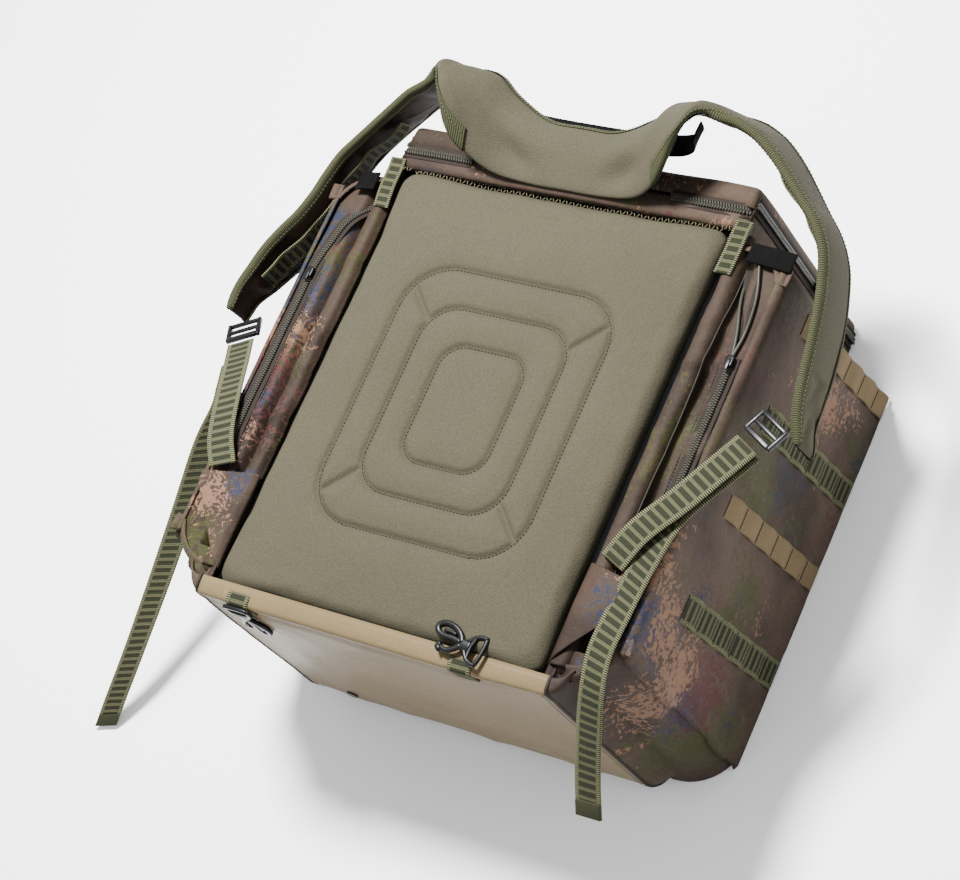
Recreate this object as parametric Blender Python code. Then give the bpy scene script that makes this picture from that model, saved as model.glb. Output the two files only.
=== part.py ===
"""Tackle backpack lying on its front, back panel up.

X runs across the bag, Y from its base to its shoulder yoke, Z from its front face to its back
panel. The origin is the middle of the front face that the bag lies on. All sizes are in metres.
"""
import math

import bmesh
import bpy
from mathutils import Matrix, Vector

# ---- driving dimensions -------------------------------------------------------------------
GAP = 0.0003                 # clearance kept between meshes that touch
BODY_HALF_WIDTH = 0.2075     # main compartment, centre line to its side panel
BODY_BOTTOM_Y = -0.250       # outside of the base
BODY_RIM_Y = 0.262           # top of the main compartment's walls, where the lid's zip runs
BODY_DEPTH = 0.289           # front face to the back of the collar
ARC_SLACK = 0.0012           # clearance to a round stretch, whose chords cut inwards
FABRIC = 0.003               # coated fabric with its lining and foam
BASE_CORNER = 0.050          # radius of the base's front corner
BASE_LIP = 0.020             # how far the base cover turns up over the front face
BASE_BOARD = 0.004           # stiffener lying in the bottom
FOOT_X = 0.145               # rubber studs under the base's front edge
FOOT_RADIUS = 0.008
FOOT_HEIGHT = 0.004
FRONT_POCKET_DEPTH = 0.028
FRONT_POCKET_TOP_Y = 0.205

PAD_HALF_WIDTH = 0.1965
PAD_BOTTOM_Y = -0.240
PAD_TOP_Y = 0.241
PAD_THICKNESS = 0.022
PAD_CORNER = 0.022
PAD_EDGE = 0.007
BACK_BOARD = 0.003           # plastic stiffener behind the pad

LID_HEIGHT = 0.028           # lid's skirt and top over the rim
LID_GAP = 0.002              # the zip's tape between the rim and the lid's skirt

POCKET_WIDTH = 0.060         # side pocket, out from the body's side
POCKET_BOTTOM_Y = -0.224
POCKET_TOP_Y = 0.226
POCKET_DEPTH = 0.283
POCKET_BOTTOM_CORNER = min(0.056, POCKET_WIDTH - 0.004)   # limited by the pocket's width
POCKET_TOP_CORNER = 0.045
POCKET_FABRIC = 0.003

ZIP_WIDTH = 0.009
ZIP_HEIGHT = 0.0022
SIDE_ZIP_X = 0.250           # straight stretch of a side pocket's zip
SIDE_ZIP_TOP_X = 0.222       # where the zip ends beside the lid
SIDE_ZIP_BOTTOM_Y = -0.120
SIDE_ZIP_BEND_Y = 0.110
SIDE_ZIP_TOP_Y = 0.205
SLIDER_LENGTH = 0.012
SLIDER_WIDTH = 0.008
SLIDER_HEIGHT = 0.0035
SLIDER_LIFT = 0.0004
LID_SLIDER_SHARE = 0.40      # how far up the bag's depth the lid's two sliders rest

STRIP_THICKNESS = 0.0018     # webbing
STRIP_LENGTH = 0.216
STRIP_FRONT_Z = 0.004
STRIP_TILT = math.radians(5.0)
TAN_WIDTH = 0.025
OLIVE_WIDTH = 0.030
STRIP_EDGE_Y = (0.197, 0.098, 0.002, -0.102)   # upper edge of each strip at its rear end
STRIP_KIND = ("tan", "olive", "tan", "olive")
TAB_WIDTH = 0.020            # folded webbing at the pad's upper corners
TAB_BOTTOM_Y = 0.190
TRIM_INSET = 0.001           # clearance from the pad's side to the tabs and wings
WING_REACH_X = 0.262         # wings at the pad's lower corners
WING_Y = (-0.118, -0.130, -0.140, -0.222)      # upper root, upper tip, lower tip, lower root

YOKE_THICKNESS = 0.011
YOKE_HALF_WIDTH = 0.155      # where the yoke goes over into the shoulder straps
STRAP_THICKNESS = 0.012
STRAP_CLEARANCE = 0.0045     # between the yoke's end and the shoulder strap
LOCK_WIDTH = 0.040
LOCK_LENGTH = 0.024
LOCK_THICKNESS = 0.0045
LOCK_BAR = 0.004
LOCK_CORNER = 0.005
WEB_THICKNESS = 0.0016
WEB_WIDTH = 0.030
TAIL_WIDTH = 0.028
DAISY_CLEARANCE = 0.0015
DAISY_BOW = 0.005

STABILISER_WIDTH = 0.020
STABILISER_REACH = {1: 0.050, -1: 0.022}
STABILISER_X = 0.222
HANDLE_WIDTH = 0.024
HANDLE_Y = 0.3115
HANDLE_PROFILE = ((0.140, 0.330), (0.134, 0.312), (0.110, 0.296), (0.060, 0.2870), (0.0, 0.2850))
HANDLE_THICKNESS = 0.0018

HOOK_THICKNESS = 0.004
HOOK_WIDTH = 0.030
HOOK_LENGTH = 0.060
HOOK_LIMB = 0.005
HOOK_REST = 0.0008           # the right hook's height over the pad
HOOK_STANDOFF = 0.006        # hook's pivot, out from the base
HOOK_PIN_Z = 0.284
HOOK_LOOP_WIDTH = 0.028
HOOK_LOOP_LENGTH = 0.020
HOOK_X = {-1: -0.155, 1: 0.112}
HOOK_LYING_TURN = math.radians(83)
HOOK_LYING_SHIFT = 0.36      # of its length, from its loop to its head when it lies on the pad

BACK_Z = BODY_DEPTH                                   # outer face of the back's collar
POCKET_X = BODY_HALF_WIDTH + POCKET_WIDTH             # outer face of a side pocket
WALL_X = BODY_HALF_WIDTH - FABRIC
BOARD_TOP_Z = BACK_Z - PAD_THICKNESS + 0.001
INNER_FRONT_Z = FRONT_POCKET_DEPTH
INNER_BACK_Z = BOARD_TOP_Z - BACK_BOARD - GAP

COLOURS = {
    "olive_knit": ((0.20, 0.19, 0.13), 0.85),
    "tan_coated": ((0.40, 0.35, 0.25), 0.55),
    "camo": ((0.13, 0.09, 0.06), 0.80),
    "brown_lining": ((0.10, 0.06, 0.04), 0.60),
    "olive_webbing": ((0.13, 0.14, 0.06), 0.80),
    "tan_webbing": ((0.36, 0.31, 0.18), 0.80),
    "black_webbing": ((0.02, 0.02, 0.02), 0.80),
    "black_plastic": ((0.02, 0.02, 0.022), 0.35),
    "zip_coil": ((0.10, 0.10, 0.09), 0.40),
    "board": ((0.05, 0.05, 0.05), 0.60),
}


# ---- making objects -----------------------------------------------------------------------
def clear_scene():
    for existing in list(bpy.data.objects):
        bpy.data.objects.remove(existing, do_unlink=True)


def material(kind):
    found = bpy.data.materials.get(kind)
    if found:
        return found
    colour, roughness = COLOURS[kind]
    made = bpy.data.materials.new(kind)
    made.use_nodes = True
    shader = made.node_tree.nodes["Principled BSDF"]
    shader.inputs["Base Color"].default_value = (*colour, 1.0)
    shader.inputs["Roughness"].default_value = roughness
    shader.inputs["Metallic"].default_value = 0.7 if kind == "zip_coil" else 0.0
    made.diffuse_color = (*colour, 1.0)
    return made


def finish_mesh(name, kind, bm, origin=(0.0, 0.0, 0.0)):
    """Turns a bmesh in world coordinates into a named object whose origin is at origin."""
    place = Vector(origin)
    bmesh.ops.recalc_face_normals(bm, faces=bm.faces)
    bmesh.ops.translate(bm, verts=bm.verts, vec=-place)
    mesh = bpy.data.meshes.new(name)
    bm.to_mesh(mesh)
    bm.free()
    made = bpy.data.objects.new(name, mesh)
    made.location = place
    made.data.materials.append(material(kind))
    bpy.context.collection.objects.link(made)
    return made


def box_bmesh(low, high):
    size = [high[i] - low[i] for i in range(3)]
    middle = [(high[i] + low[i]) / 2 for i in range(3)]
    bm = bmesh.new()
    bmesh.ops.create_cube(bm, size=1.0)
    bmesh.ops.scale(bm, vec=size, verts=bm.verts)
    bmesh.ops.translate(bm, vec=middle, verts=bm.verts)
    return bm


def box(name, kind, low, high, origin=(0.0, 0.0, 0.0)):
    return finish_mesh(name, kind, box_bmesh(low, high), origin)


def bevel_edges(bm, picked, width, segments):
    bmesh.ops.bevel(
        bm, geom=picked, offset=width, segments=segments, affect="EDGES", profile=0.5, material=-1)


def prism(name, kind, outline, axis, low, high, origin=(0.0, 0.0, 0.0)):
    """Extrudes a closed outline in the plane across axis from low to high."""
    bm = bmesh.new()
    corners = []
    for a, b in outline:
        point = {"X": (low, a, b), "Y": (a, low, b), "Z": (a, b, low)}[axis]
        corners.append(bm.verts.new(point))
    face = bm.faces.new(corners)
    run = bmesh.ops.extrude_face_region(bm, geom=[face])
    moved = [item for item in run["geom"] if isinstance(item, bmesh.types.BMVert)]
    step = {"X": (high - low, 0, 0), "Y": (0, high - low, 0), "Z": (0, 0, high - low)}[axis]
    bmesh.ops.translate(bm, verts=moved, vec=step)
    return finish_mesh(name, kind, bm, origin)


def frame_ring(name, kind, low, high, wall, axis):
    """A box without its two faces across axis, with walls of the given thickness."""
    bm = box_bmesh(low, high)
    index = "XYZ".index(axis)
    ends = [face for face in bm.faces if abs(face.normal[index]) > 0.9]
    rims = []
    for face in ends:
        bmesh.ops.inset_region(bm, faces=[face], thickness=wall, use_even_offset=True)
        rims.extend(face.edges)
    bmesh.ops.delete(bm, geom=ends, context="FACES_ONLY")
    bmesh.ops.bridge_loops(bm, edges=rims)
    return finish_mesh(name, kind, bm)


def smooth_path(points, count):
    """Evenly spaced points on a smooth curve through the given ones."""
    knots = [Vector(p) for p in points]
    ends = [knots[0] * 2 - knots[1], *knots, knots[-1] * 2 - knots[-2]]
    dense = []
    for i in range(1, len(ends) - 2):
        a, b, c, d = ends[i - 1:i + 3]
        for step in range(12):
            t = step / 12
            dense.append(0.5 * (2 * b + (c - a) * t + (2 * a - 5 * b + 4 * c - d) * t ** 2
                                + (3 * b - a - 3 * c + d) * t ** 3))
    dense.append(knots[-1])
    lengths = [0.0]
    for before, after in zip(dense, dense[1:]):
        lengths.append(lengths[-1] + (after - before).length)
    spaced = []
    for i in range(count):
        want = lengths[-1] * i / (count - 1)
        k = max(j for j in range(len(lengths) - 1) if lengths[j] <= want + 1e-9)
        share = (want - lengths[k]) / (lengths[k + 1] - lengths[k])
        spaced.append(dense[k].lerp(dense[k + 1], min(share, 1.0)))
    return spaced


def band(name, kind, rows, thickness, origin=(0.0, 0.0, 0.0), offset=0.0):
    """A flat strip: a grid through rows of points, given its thickness by Solidify."""
    bm = bmesh.new()
    grid = [[bm.verts.new(Vector(p) - Vector(origin)) for p in row] for row in rows]
    for upper, lower in zip(grid, grid[1:]):
        for i in range(len(upper) - 1):
            bm.faces.new((upper[i], upper[i + 1], lower[i + 1], lower[i]))
    mesh = bpy.data.meshes.new(name)
    bm.to_mesh(mesh)
    bm.free()
    made = bpy.data.objects.new(name, mesh)
    made.location = Vector(origin)
    made.data.materials.append(material(kind))
    bpy.context.collection.objects.link(made)
    thick = made.modifiers.new("thickness", "SOLIDIFY")
    thick.thickness = thickness
    thick.offset = offset
    thick.use_even_offset = True
    return made


def knot_blend(knots, share):
    """Value at a share of the way along evenly weighted knots."""
    place = share * (len(knots) - 1)
    low = min(int(place), len(knots) - 2)
    return Vector(knots[low]).lerp(Vector(knots[low + 1]), place - low)


def webbing_rows(route, across, width, count):
    """Two rails on either side of a route; across is the width direction at each knot."""
    rows = []
    for i, centre in enumerate(smooth_path(route, count)):
        half = knot_blend(across, i / (count - 1)).normalized() * width / 2
        rows.append([centre - half, centre + half])
    return rows


def mirror_x(points, side):
    return [(side * x, y, z) for x, y, z in points]


def side_name(side):
    return "right" if side > 0 else "left"


# ---- main compartment ---------------------------------------------------------------------
def back():
    low = (-PAD_HALF_WIDTH, PAD_BOTTOM_Y, BOARD_TOP_Z + GAP)
    bm = box_bmesh(low, (PAD_HALF_WIDTH, PAD_TOP_Y, BOARD_TOP_Z + PAD_THICKNESS))
    upright = [e for e in bm.edges if abs(e.verts[0].co.z - e.verts[1].co.z) > 0.01]
    bevel_edges(bm, upright, PAD_CORNER, 3)
    top = BOARD_TOP_Z + PAD_THICKNESS
    rim = [e for e in bm.edges if all(abs(v.co.z - top) < 1e-5 for v in e.verts)]
    bevel_edges(bm, rim, PAD_EDGE, 2)
    finish_mesh("back_pad", "olive_knit", bm)
    box("back_board", "board",
        (-WALL_X + GAP, PAD_BOTTOM_Y, BOARD_TOP_Z - BACK_BOARD), (WALL_X - GAP, PAD_TOP_Y, BOARD_TOP_Z))
    box("back_collar", "camo",
        (-BODY_HALF_WIDTH, PAD_TOP_Y + GAP, BACK_Z - FABRIC), (BODY_HALF_WIDTH, BODY_RIM_Y, BACK_Z))


def base():
    """Coated cover: a strip under the bag whose front edge turns up over the front face."""
    outer = BODY_BOTTOM_Y
    centre = (outer + BASE_CORNER, BASE_CORNER)
    rear_z = BACK_Z - PAD_EDGE
    outline = [(outer, rear_z)]
    for radius, turn in ((BASE_CORNER, 1), (BASE_CORNER - FABRIC, -1)):
        arc = []
        for i in range(6):
            angle = math.pi + i / 5 * math.pi / 2
            arc.append((centre[0] + radius * math.cos(angle), centre[1] + radius * math.sin(angle)))
        if turn > 0:
            outline += arc + [(centre[0] + BASE_LIP, 0.0), (centre[0] + BASE_LIP, FABRIC)]
        else:
            outline += arc[::-1]
    outline.append((outer + FABRIC, rear_z))
    prism("base_cover", "tan_coated", outline, "X", -BODY_HALF_WIDTH, BODY_HALF_WIDTH)
    floor_y = outer + FABRIC + GAP
    box("base_board", "board",
        (-WALL_X + GAP, floor_y, INNER_FRONT_Z + FABRIC + BASE_CORNER / 2),
        (WALL_X - GAP, floor_y + BASE_BOARD, INNER_BACK_Z))
    for side in (-1, 1):
        foot = bmesh.new()
        at = (side * FOOT_X, outer - FOOT_HEIGHT / 2 - GAP, BASE_CORNER + FOOT_RADIUS)
        bmesh.ops.create_cone(
            foot, cap_ends=True, segments=12, radius1=FOOT_RADIUS * 0.8, radius2=FOOT_RADIUS,
            depth=FOOT_HEIGHT, matrix=Matrix.Translation(at) @ Matrix.Rotation(-math.pi / 2, 4, "X"))
        finish_mesh(f"{side_name(side)}_base_foot", "black_plastic", foot)


def body_panels():
    reach = math.sqrt((BASE_CORNER - FABRIC) ** 2 - (BASE_CORNER - INNER_FRONT_Z) ** 2)
    wall_low_y = BODY_BOTTOM_Y + BASE_CORNER - reach + ARC_SLACK
    for side in (-1, 1):
        inner, outer = sorted((side * WALL_X, side * BODY_HALF_WIDTH))
        box(f"{side_name(side)}_side_panel", "camo",
            (inner, BODY_BOTTOM_Y + FABRIC + GAP, max(BASE_CORNER, INNER_FRONT_Z) + FABRIC),
            (outer, PAD_TOP_Y, POCKET_DEPTH))
        box(f"{side_name(side)}_rim_panel", "camo",
            (inner, PAD_TOP_Y + GAP, GAP + FABRIC), (outer, BODY_RIM_Y, BACK_Z - FABRIC - GAP))
    box("front_panel", "camo",
        (-WALL_X + GAP, wall_low_y, INNER_FRONT_Z), (WALL_X - GAP, FRONT_POCKET_TOP_Y, INNER_FRONT_Z + FABRIC))
    box("front_rim_panel", "camo",
        (-BODY_HALF_WIDTH, FRONT_POCKET_TOP_Y + GAP, 0.0), (BODY_HALF_WIDTH, BODY_RIM_Y, FABRIC))


def front_pocket():
    half = BODY_HALF_WIDTH
    panel_y = (BODY_BOTTOM_Y + BASE_CORNER + BASE_LIP + GAP, FRONT_POCKET_TOP_Y)
    box("front_pocket_panel", "camo", (-half, panel_y[0], 0.0), (half, panel_y[1], FABRIC))
    frame_ring("front_pocket_gusset", "camo",
               (-half, panel_y[0], FABRIC + GAP), (half, panel_y[1], INNER_FRONT_Z - GAP), FABRIC, "Z")


def lid():
    """Shallow tray, open towards the bag, with its hinge along its upper rear corner."""
    hinge = (0.0, BODY_RIM_Y + LID_HEIGHT, BACK_Z)
    low = (-BODY_HALF_WIDTH, BODY_RIM_Y + LID_GAP, 0.0)
    bm = box_bmesh(low, (BODY_HALF_WIDTH, BODY_RIM_Y + LID_HEIGHT, BACK_Z))
    mouth = [face for face in bm.faces if face.normal.y < -0.9]
    bmesh.ops.inset_region(bm, faces=mouth, thickness=FABRIC, use_even_offset=True)
    run = bmesh.ops.extrude_face_region(bm, geom=mouth)
    moved = [item for item in run["geom"] if isinstance(item, bmesh.types.BMVert)]
    bmesh.ops.translate(bm, verts=moved, vec=(0, LID_HEIGHT - LID_GAP - FABRIC, 0))
    bmesh.ops.delete(bm, geom=mouth, context="FACES")
    finish_mesh("lid", "camo", bm, hinge)
    tape = (BODY_RIM_Y + LID_GAP, BODY_RIM_Y + LID_GAP + ZIP_WIDTH)
    proud = GAP + ZIP_HEIGHT
    for side in (-1, 1):
        inner, outer = sorted((side * (BODY_HALF_WIDTH + GAP), side * (BODY_HALF_WIDTH + proud)))
        box(f"lid_zip_{side_name(side)}", "zip_coil",
            (inner, tape[0], 0.0), (outer, tape[1], BACK_Z - 0.002), hinge)
        middle_z = BACK_Z * LID_SLIDER_SHARE
        at = side * (BODY_HALF_WIDTH + proud + SLIDER_LIFT)
        far = at + side * SLIDER_HEIGHT
        bm = box_bmesh((min(at, far), tape[0], middle_z), (max(at, far), tape[1], middle_z + SLIDER_LENGTH))
        top = [face for face in bm.faces if face.normal.x * side > 0.9]
        bmesh.ops.inset_region(bm, faces=top, thickness=0.0015, depth=0.0008)
        finish_mesh(f"lid_slider_{side_name(side)}", "black_plastic", bm, (at, tape[0], middle_z))


# ---- side pockets -------------------------------------------------------------------------
def pocket_outline(offset):
    """Half outline of a side pocket in plan, offset inwards from its outer face."""
    x = POCKET_X - offset
    low, high = POCKET_BOTTOM_Y + offset, POCKET_TOP_Y - offset
    points = [(BODY_HALF_WIDTH + GAP, low)]
    for centre, radius, start in (
            ((POCKET_X - POCKET_BOTTOM_CORNER, POCKET_BOTTOM_Y + POCKET_BOTTOM_CORNER),
             POCKET_BOTTOM_CORNER - offset, -math.pi / 2),
            ((POCKET_X - POCKET_TOP_CORNER, POCKET_TOP_Y - POCKET_TOP_CORNER),
             POCKET_TOP_CORNER - offset, 0.0)):
        for i in range(5):
            angle = start + i / 4 * math.pi / 2
            points.append((centre[0] + radius * math.cos(angle), centre[1] + radius * math.sin(angle)))
    points.append((BODY_HALF_WIDTH + GAP, high))
    return points


def side_pocket(side):
    word = side_name(side)
    outer = [(side * x, y) for x, y in pocket_outline(0.0)]
    inner = [(side * x, y) for x, y in pocket_outline(POCKET_FABRIC)]
    rear_z = POCKET_DEPTH
    prism(f"{word}_pocket_band", "camo", outer + inner[::-1], "Z",
          POCKET_FABRIC + GAP, rear_z - POCKET_FABRIC - GAP)
    prism(f"{word}_pocket_front", "camo", outer, "Z", 0.0, POCKET_FABRIC)
    prism(f"{word}_pocket_back", "brown_lining", outer, "Z", rear_z - POCKET_FABRIC, rear_z)
    zip_low = rear_z + GAP
    straight_x = side * SIDE_ZIP_X
    route = [(straight_x, SIDE_ZIP_BOTTOM_Y, 0), (straight_x, 0.0, 0), (straight_x, SIDE_ZIP_BEND_Y, 0),
             (side * (SIDE_ZIP_X + SIDE_ZIP_TOP_X * 2) / 3, (SIDE_ZIP_BEND_Y + SIDE_ZIP_TOP_Y) / 2 + 0.02, 0),
             (side * SIDE_ZIP_TOP_X, SIDE_ZIP_TOP_Y, 0)]
    rows = []
    middle = smooth_path(route, 12)
    for i, centre in enumerate(middle):
        before, after = middle[max(i - 1, 0)], middle[min(i + 1, 11)]
        along = (after - before).normalized()
        half = Vector((-along.y, along.x, 0)) * ZIP_WIDTH / 2
        lift = Vector((0, 0, zip_low + ZIP_HEIGHT / 2))
        rows.append([centre - half + lift, centre + half + lift])
    band(f"{word}_pocket_zip", "zip_coil", rows, ZIP_HEIGHT)
    slider_z = zip_low + ZIP_HEIGHT + SLIDER_LIFT
    start_y = SIDE_ZIP_BEND_Y - SLIDER_LENGTH
    bm = box_bmesh(
        (straight_x - SLIDER_WIDTH / 2, start_y, slider_z),
        (straight_x + SLIDER_WIDTH / 2, start_y + SLIDER_LENGTH, slider_z + SLIDER_HEIGHT))
    top = [face for face in bm.faces if face.normal.z > 0.9]
    bmesh.ops.inset_region(bm, faces=top, thickness=0.0015, depth=0.0006)
    finish_mesh(f"{word}_pocket_slider", "black_plastic", bm, (straight_x, start_y, slider_z))
    for number, (edge_y, kind) in enumerate(zip(STRIP_EDGE_Y, STRIP_KIND), start=1):
        width = TAN_WIDTH if kind == "tan" else OLIVE_WIDTH
        low, high = sorted((side * (POCKET_X + GAP), side * (POCKET_X + GAP + STRIP_THICKNESS)))
        rear = STRIP_FRONT_Z + STRIP_LENGTH
        shear = math.tan(STRIP_TILT) * STRIP_LENGTH
        outline = [(edge_y - width, rear), (edge_y, rear),
                   (edge_y + shear, STRIP_FRONT_Z), (edge_y - width + shear, STRIP_FRONT_Z)]
        prism(f"{word}_strip_{number}", f"{kind}_webbing", outline, "X", low, high)


def trims(side):
    """Webbing tab at the pad's upper corner and fabric wing at its lower corner."""
    word = side_name(side)
    z = POCKET_DEPTH + GAP
    root_x = PAD_HALF_WIDTH + TRIM_INSET
    tab_x = sorted((side * root_x, side * (root_x + TAB_WIDTH)))
    box(f"{word}_corner_tab", "olive_webbing",
        (tab_x[0], TAB_BOTTOM_Y, z), (tab_x[1], PAD_TOP_Y, z + 2 * STRIP_THICKNESS))
    reach = (root_x, WING_REACH_X, WING_REACH_X, root_x)
    wing = [(side * x, y) for x, y in zip(reach, WING_Y)]
    prism(f"{word}_wing", "camo", wing, "Z", z, z + FABRIC)


# ---- yoke and shoulder straps -------------------------------------------------------------
# At each distance from the middle: y and z of the yoke's root rim, its crest and its neck edge.
YOKE_STATIONS = (
    (0.000, (0.2490, 0.3035), (0.285, 0.307), (0.312, 0.3035)),
    (0.040, (0.2490, 0.3035), (0.286, 0.308), (0.313, 0.3045)),
    (0.080, (0.2500, 0.3090), (0.300, 0.322), (0.330, 0.3080)),
    (0.105, (0.2530, 0.3220), (0.315, 0.342), (0.346, 0.3080)),
    (0.125, (0.2620, 0.3450), (0.320, 0.355), (0.352, 0.3020)),
    (0.140, (0.2850, 0.3600), (0.325, 0.360), (0.352, 0.2960)),
    (0.155, (0.3140, 0.3620), (0.333, 0.354), (0.350, 0.2920)),
)
# Upper rim of each shoulder pad, and the way from the rim to the lower edge at its start,
# in the middle and at its tip. The left pad hangs straighter than the right one.
RIM = {
    1: ((0.155, 0.314, 0.360), (0.180, 0.323, 0.349), (0.204, 0.314, 0.338), (0.229, 0.297, 0.326),
        (0.262, 0.268, 0.312), (0.287, 0.243, 0.303), (0.298, 0.215, 0.292), (0.307, 0.173, 0.284),
        (0.312, 0.125, 0.275), (0.316, 0.082, 0.264), (0.324, 0.052, 0.250)),
    -1: ((0.155, 0.314, 0.360), (0.187, 0.305, 0.339), (0.217, 0.280, 0.323), (0.245, 0.253, 0.311),
         (0.267, 0.226, 0.303), (0.281, 0.190, 0.295), (0.299, 0.159, 0.287), (0.318, 0.135, 0.281),
         (0.333, 0.100, 0.274), (0.342, 0.077, 0.268), (0.345, 0.055, 0.262)),
}
DROP = {
    1: ((0.000, 0.036, -0.068), (-0.004, 0.020, -0.067), (-0.002, 0.006, -0.070), (0.004, 0.000, -0.046)),
    -1: ((0.000, 0.036, -0.068), (0.014, 0.019, -0.066), (0.000, 0.000, -0.070), (-0.004, 0.002, -0.046)),
}
LOCK_CENTRE = {1: (0.311, 0.048, 0.281), -1: (-0.318, 0.036, 0.260)}
LOCK_WAY = {1: (-0.47, -0.88, 0.05), -1: (0.457, -0.846, 0.27)}
WEB_ROUTE = {
    1: ((0.3005, 0.029, 0.2855), (0.286, -0.006, 0.295), (0.267, -0.044, 0.301), (0.239, -0.082, 0.299),
        (0.222, -0.115, 0.2925)),
    -1: ((-0.309, 0.020, 0.2665), (-0.292, -0.008, 0.279), (-0.271, -0.050, 0.293), (-0.256, -0.092, 0.295),
         (-0.240, -0.120, 0.2925)),
}
TAIL_ROUTE = {
    1: ((0.302, 0.026, 0.277), (0.286, -0.008, 0.285), (0.264, -0.055, 0.2925), (0.253, -0.105, 0.2905),
        (0.249, -0.156, 0.2915), (0.2475, -0.199, 0.2922), (0.2488, -0.2307, 0.2820), (0.2442, -0.2636, 0.2478),
        (0.241, -0.297, 0.211), (0.243, -0.325, 0.185)),
    -1: ((-0.3345, 0.0085, 0.2335), (-0.3420, -0.011, 0.2165), (-0.349, -0.028, 0.202), (-0.366, -0.064, 0.180),
         (-0.386, -0.134, 0.140), (-0.407, -0.207, 0.100), (-0.430, -0.278, 0.060), (-0.452, -0.328, 0.026),
         (-0.466, -0.356, 0.004)),
}
TAIL_ACROSS = {
    1: ((0.88, -0.47, 0.0), (0.88, -0.47, 0.0), (0.94, -0.33, 0.0), (1.0, -0.08, 0.0), (1.0, 0.02, 0.0)),
    -1: ((-0.88, -0.475, 0.0), (-0.80, -0.45, 0.35), (-0.9, -0.3, 0.15), (-0.95, -0.3, 0.0), (-0.95, -0.3, 0.0)),
}
STRAP_STEPS = 15
PIVOT_Y = 0.345
PIVOT_Z = 0.345


def yoke():
    rows = []
    stations = [(-x, *rest) for x, *rest in YOKE_STATIONS[:0:-1]] + list(YOKE_STATIONS)
    for x, *section in stations:
        rows.append([(x, y, z) for y, z in section])
    band("yoke", "olive_knit", rows, YOKE_THICKNESS, offset=1.0)


def strap_rows(side):
    """Rows across a shoulder pad: upper rim, middle, lower edge."""
    rows = []
    rim = smooth_path(RIM[side], STRAP_STEPS)
    for i, a in enumerate(rim):
        drop = knot_blend(DROP[side], i / (STRAP_STEPS - 1))
        rows.append([Vector((side * (p.x + STRAP_CLEARANCE), p.y, p.z)) for p in (a, a + drop / 2, a + drop)])
    return rows


def strap(side):
    pivot = (side * YOKE_HALF_WIDTH, PIVOT_Y, PIVOT_Z)
    band(f"{side_name(side)}_shoulder_pad", "olive_knit", strap_rows(side), STRAP_THICKNESS, pivot)


def ladder_lock(side):
    """Plastic frame with two slots, where the adjusting webbing meets the shoulder pad."""
    word = side_name(side)
    along = Vector(LOCK_WAY[side]).normalized()
    across = Vector((along.y, -along.x, 0.0)).normalized()
    normal = across.cross(along)
    turn = Matrix((along, across, normal)).transposed().to_4x4()
    start = Vector(LOCK_CENTRE[side]) - along * LOCK_LENGTH / 2
    place = Matrix.Translation(start) @ turn
    bm = box_bmesh((0, -LOCK_WIDTH / 2, -LOCK_THICKNESS / 2), (LOCK_LENGTH, LOCK_WIDTH / 2, LOCK_THICKNESS / 2))
    corners = [e for e in bm.edges if abs(e.verts[0].co.z - e.verts[1].co.z) > 0.001]
    bevel_edges(bm, corners, LOCK_CORNER, 2)
    bmesh.ops.transform(bm, matrix=place, verts=bm.verts)
    lock = finish_mesh(f"{word}_ladder_lock", "black_plastic", bm, start)
    slot = (LOCK_LENGTH - 3 * LOCK_BAR) / 2
    for number in (0, 1):
        near = LOCK_BAR + number * (slot + LOCK_BAR)
        cut = box_bmesh((near, LOCK_BAR - LOCK_WIDTH / 2, -LOCK_THICKNESS),
                        (near + slot, LOCK_WIDTH / 2 - LOCK_BAR, LOCK_THICKNESS))
        bmesh.ops.transform(cut, matrix=place, verts=cut.verts)
        cutter = finish_mesh(f"{word}_lock_slot_{number}", "black_plastic", cut)
        cutter.hide_render = True
        cutter.display_type = "WIRE"
        slotting = lock.modifiers.new(f"slot_{number}", "BOOLEAN")
        slotting.object = cutter
        slotting.solver = "EXACT"


def lower_webbing(side):
    """Adjusting webbing from the ladder lock to the wing, and its free tail."""
    word = side_name(side)
    flat = Vector((side * 0.88, -0.475, 0.0))
    band(f"{word}_anchor_web", "olive_webbing",
         webbing_rows(WEB_ROUTE[side], (flat, flat, (side * 0.92, -0.4, 0)), WEB_WIDTH, 12), WEB_THICKNESS)
    band(f"{word}_web_tail", "olive_webbing",
         webbing_rows(TAIL_ROUTE[side], TAIL_ACROSS[side], TAIL_WIDTH, 20), WEB_THICKNESS,
         (side * YOKE_HALF_WIDTH, PIVOT_Y, PIVOT_Z))


def daisy_chain(side):
    """Ladder webbing tacked in bows along the inside of the shoulder pad."""
    word = side_name(side)
    rows = strap_rows(side)
    clear = (STRAP_THICKNESS + WEB_THICKNESS) / 2 + DAISY_CLEARANCE
    route = []
    across = []
    for index in range(3, STRAP_STEPS - 2, 2):
        rim, middle, outer = rows[index]
        along = rows[index + 1][1] - rows[index - 1][1]
        inward = along.cross(rim - outer).normalized()
        if inward.x * side > 0:
            inward = -inward
        bow = DAISY_BOW if index % 4 == 1 else 0.0
        route.append(middle + inward * (clear + bow))
        across.append((rim - outer).normalized())
    band(f"{word}_daisy_web", "olive_webbing",
         webbing_rows(route, across, TAN_WIDTH, 12), WEB_THICKNESS,
         (side * YOKE_HALF_WIDTH, PIVOT_Y, PIVOT_Z))


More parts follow.
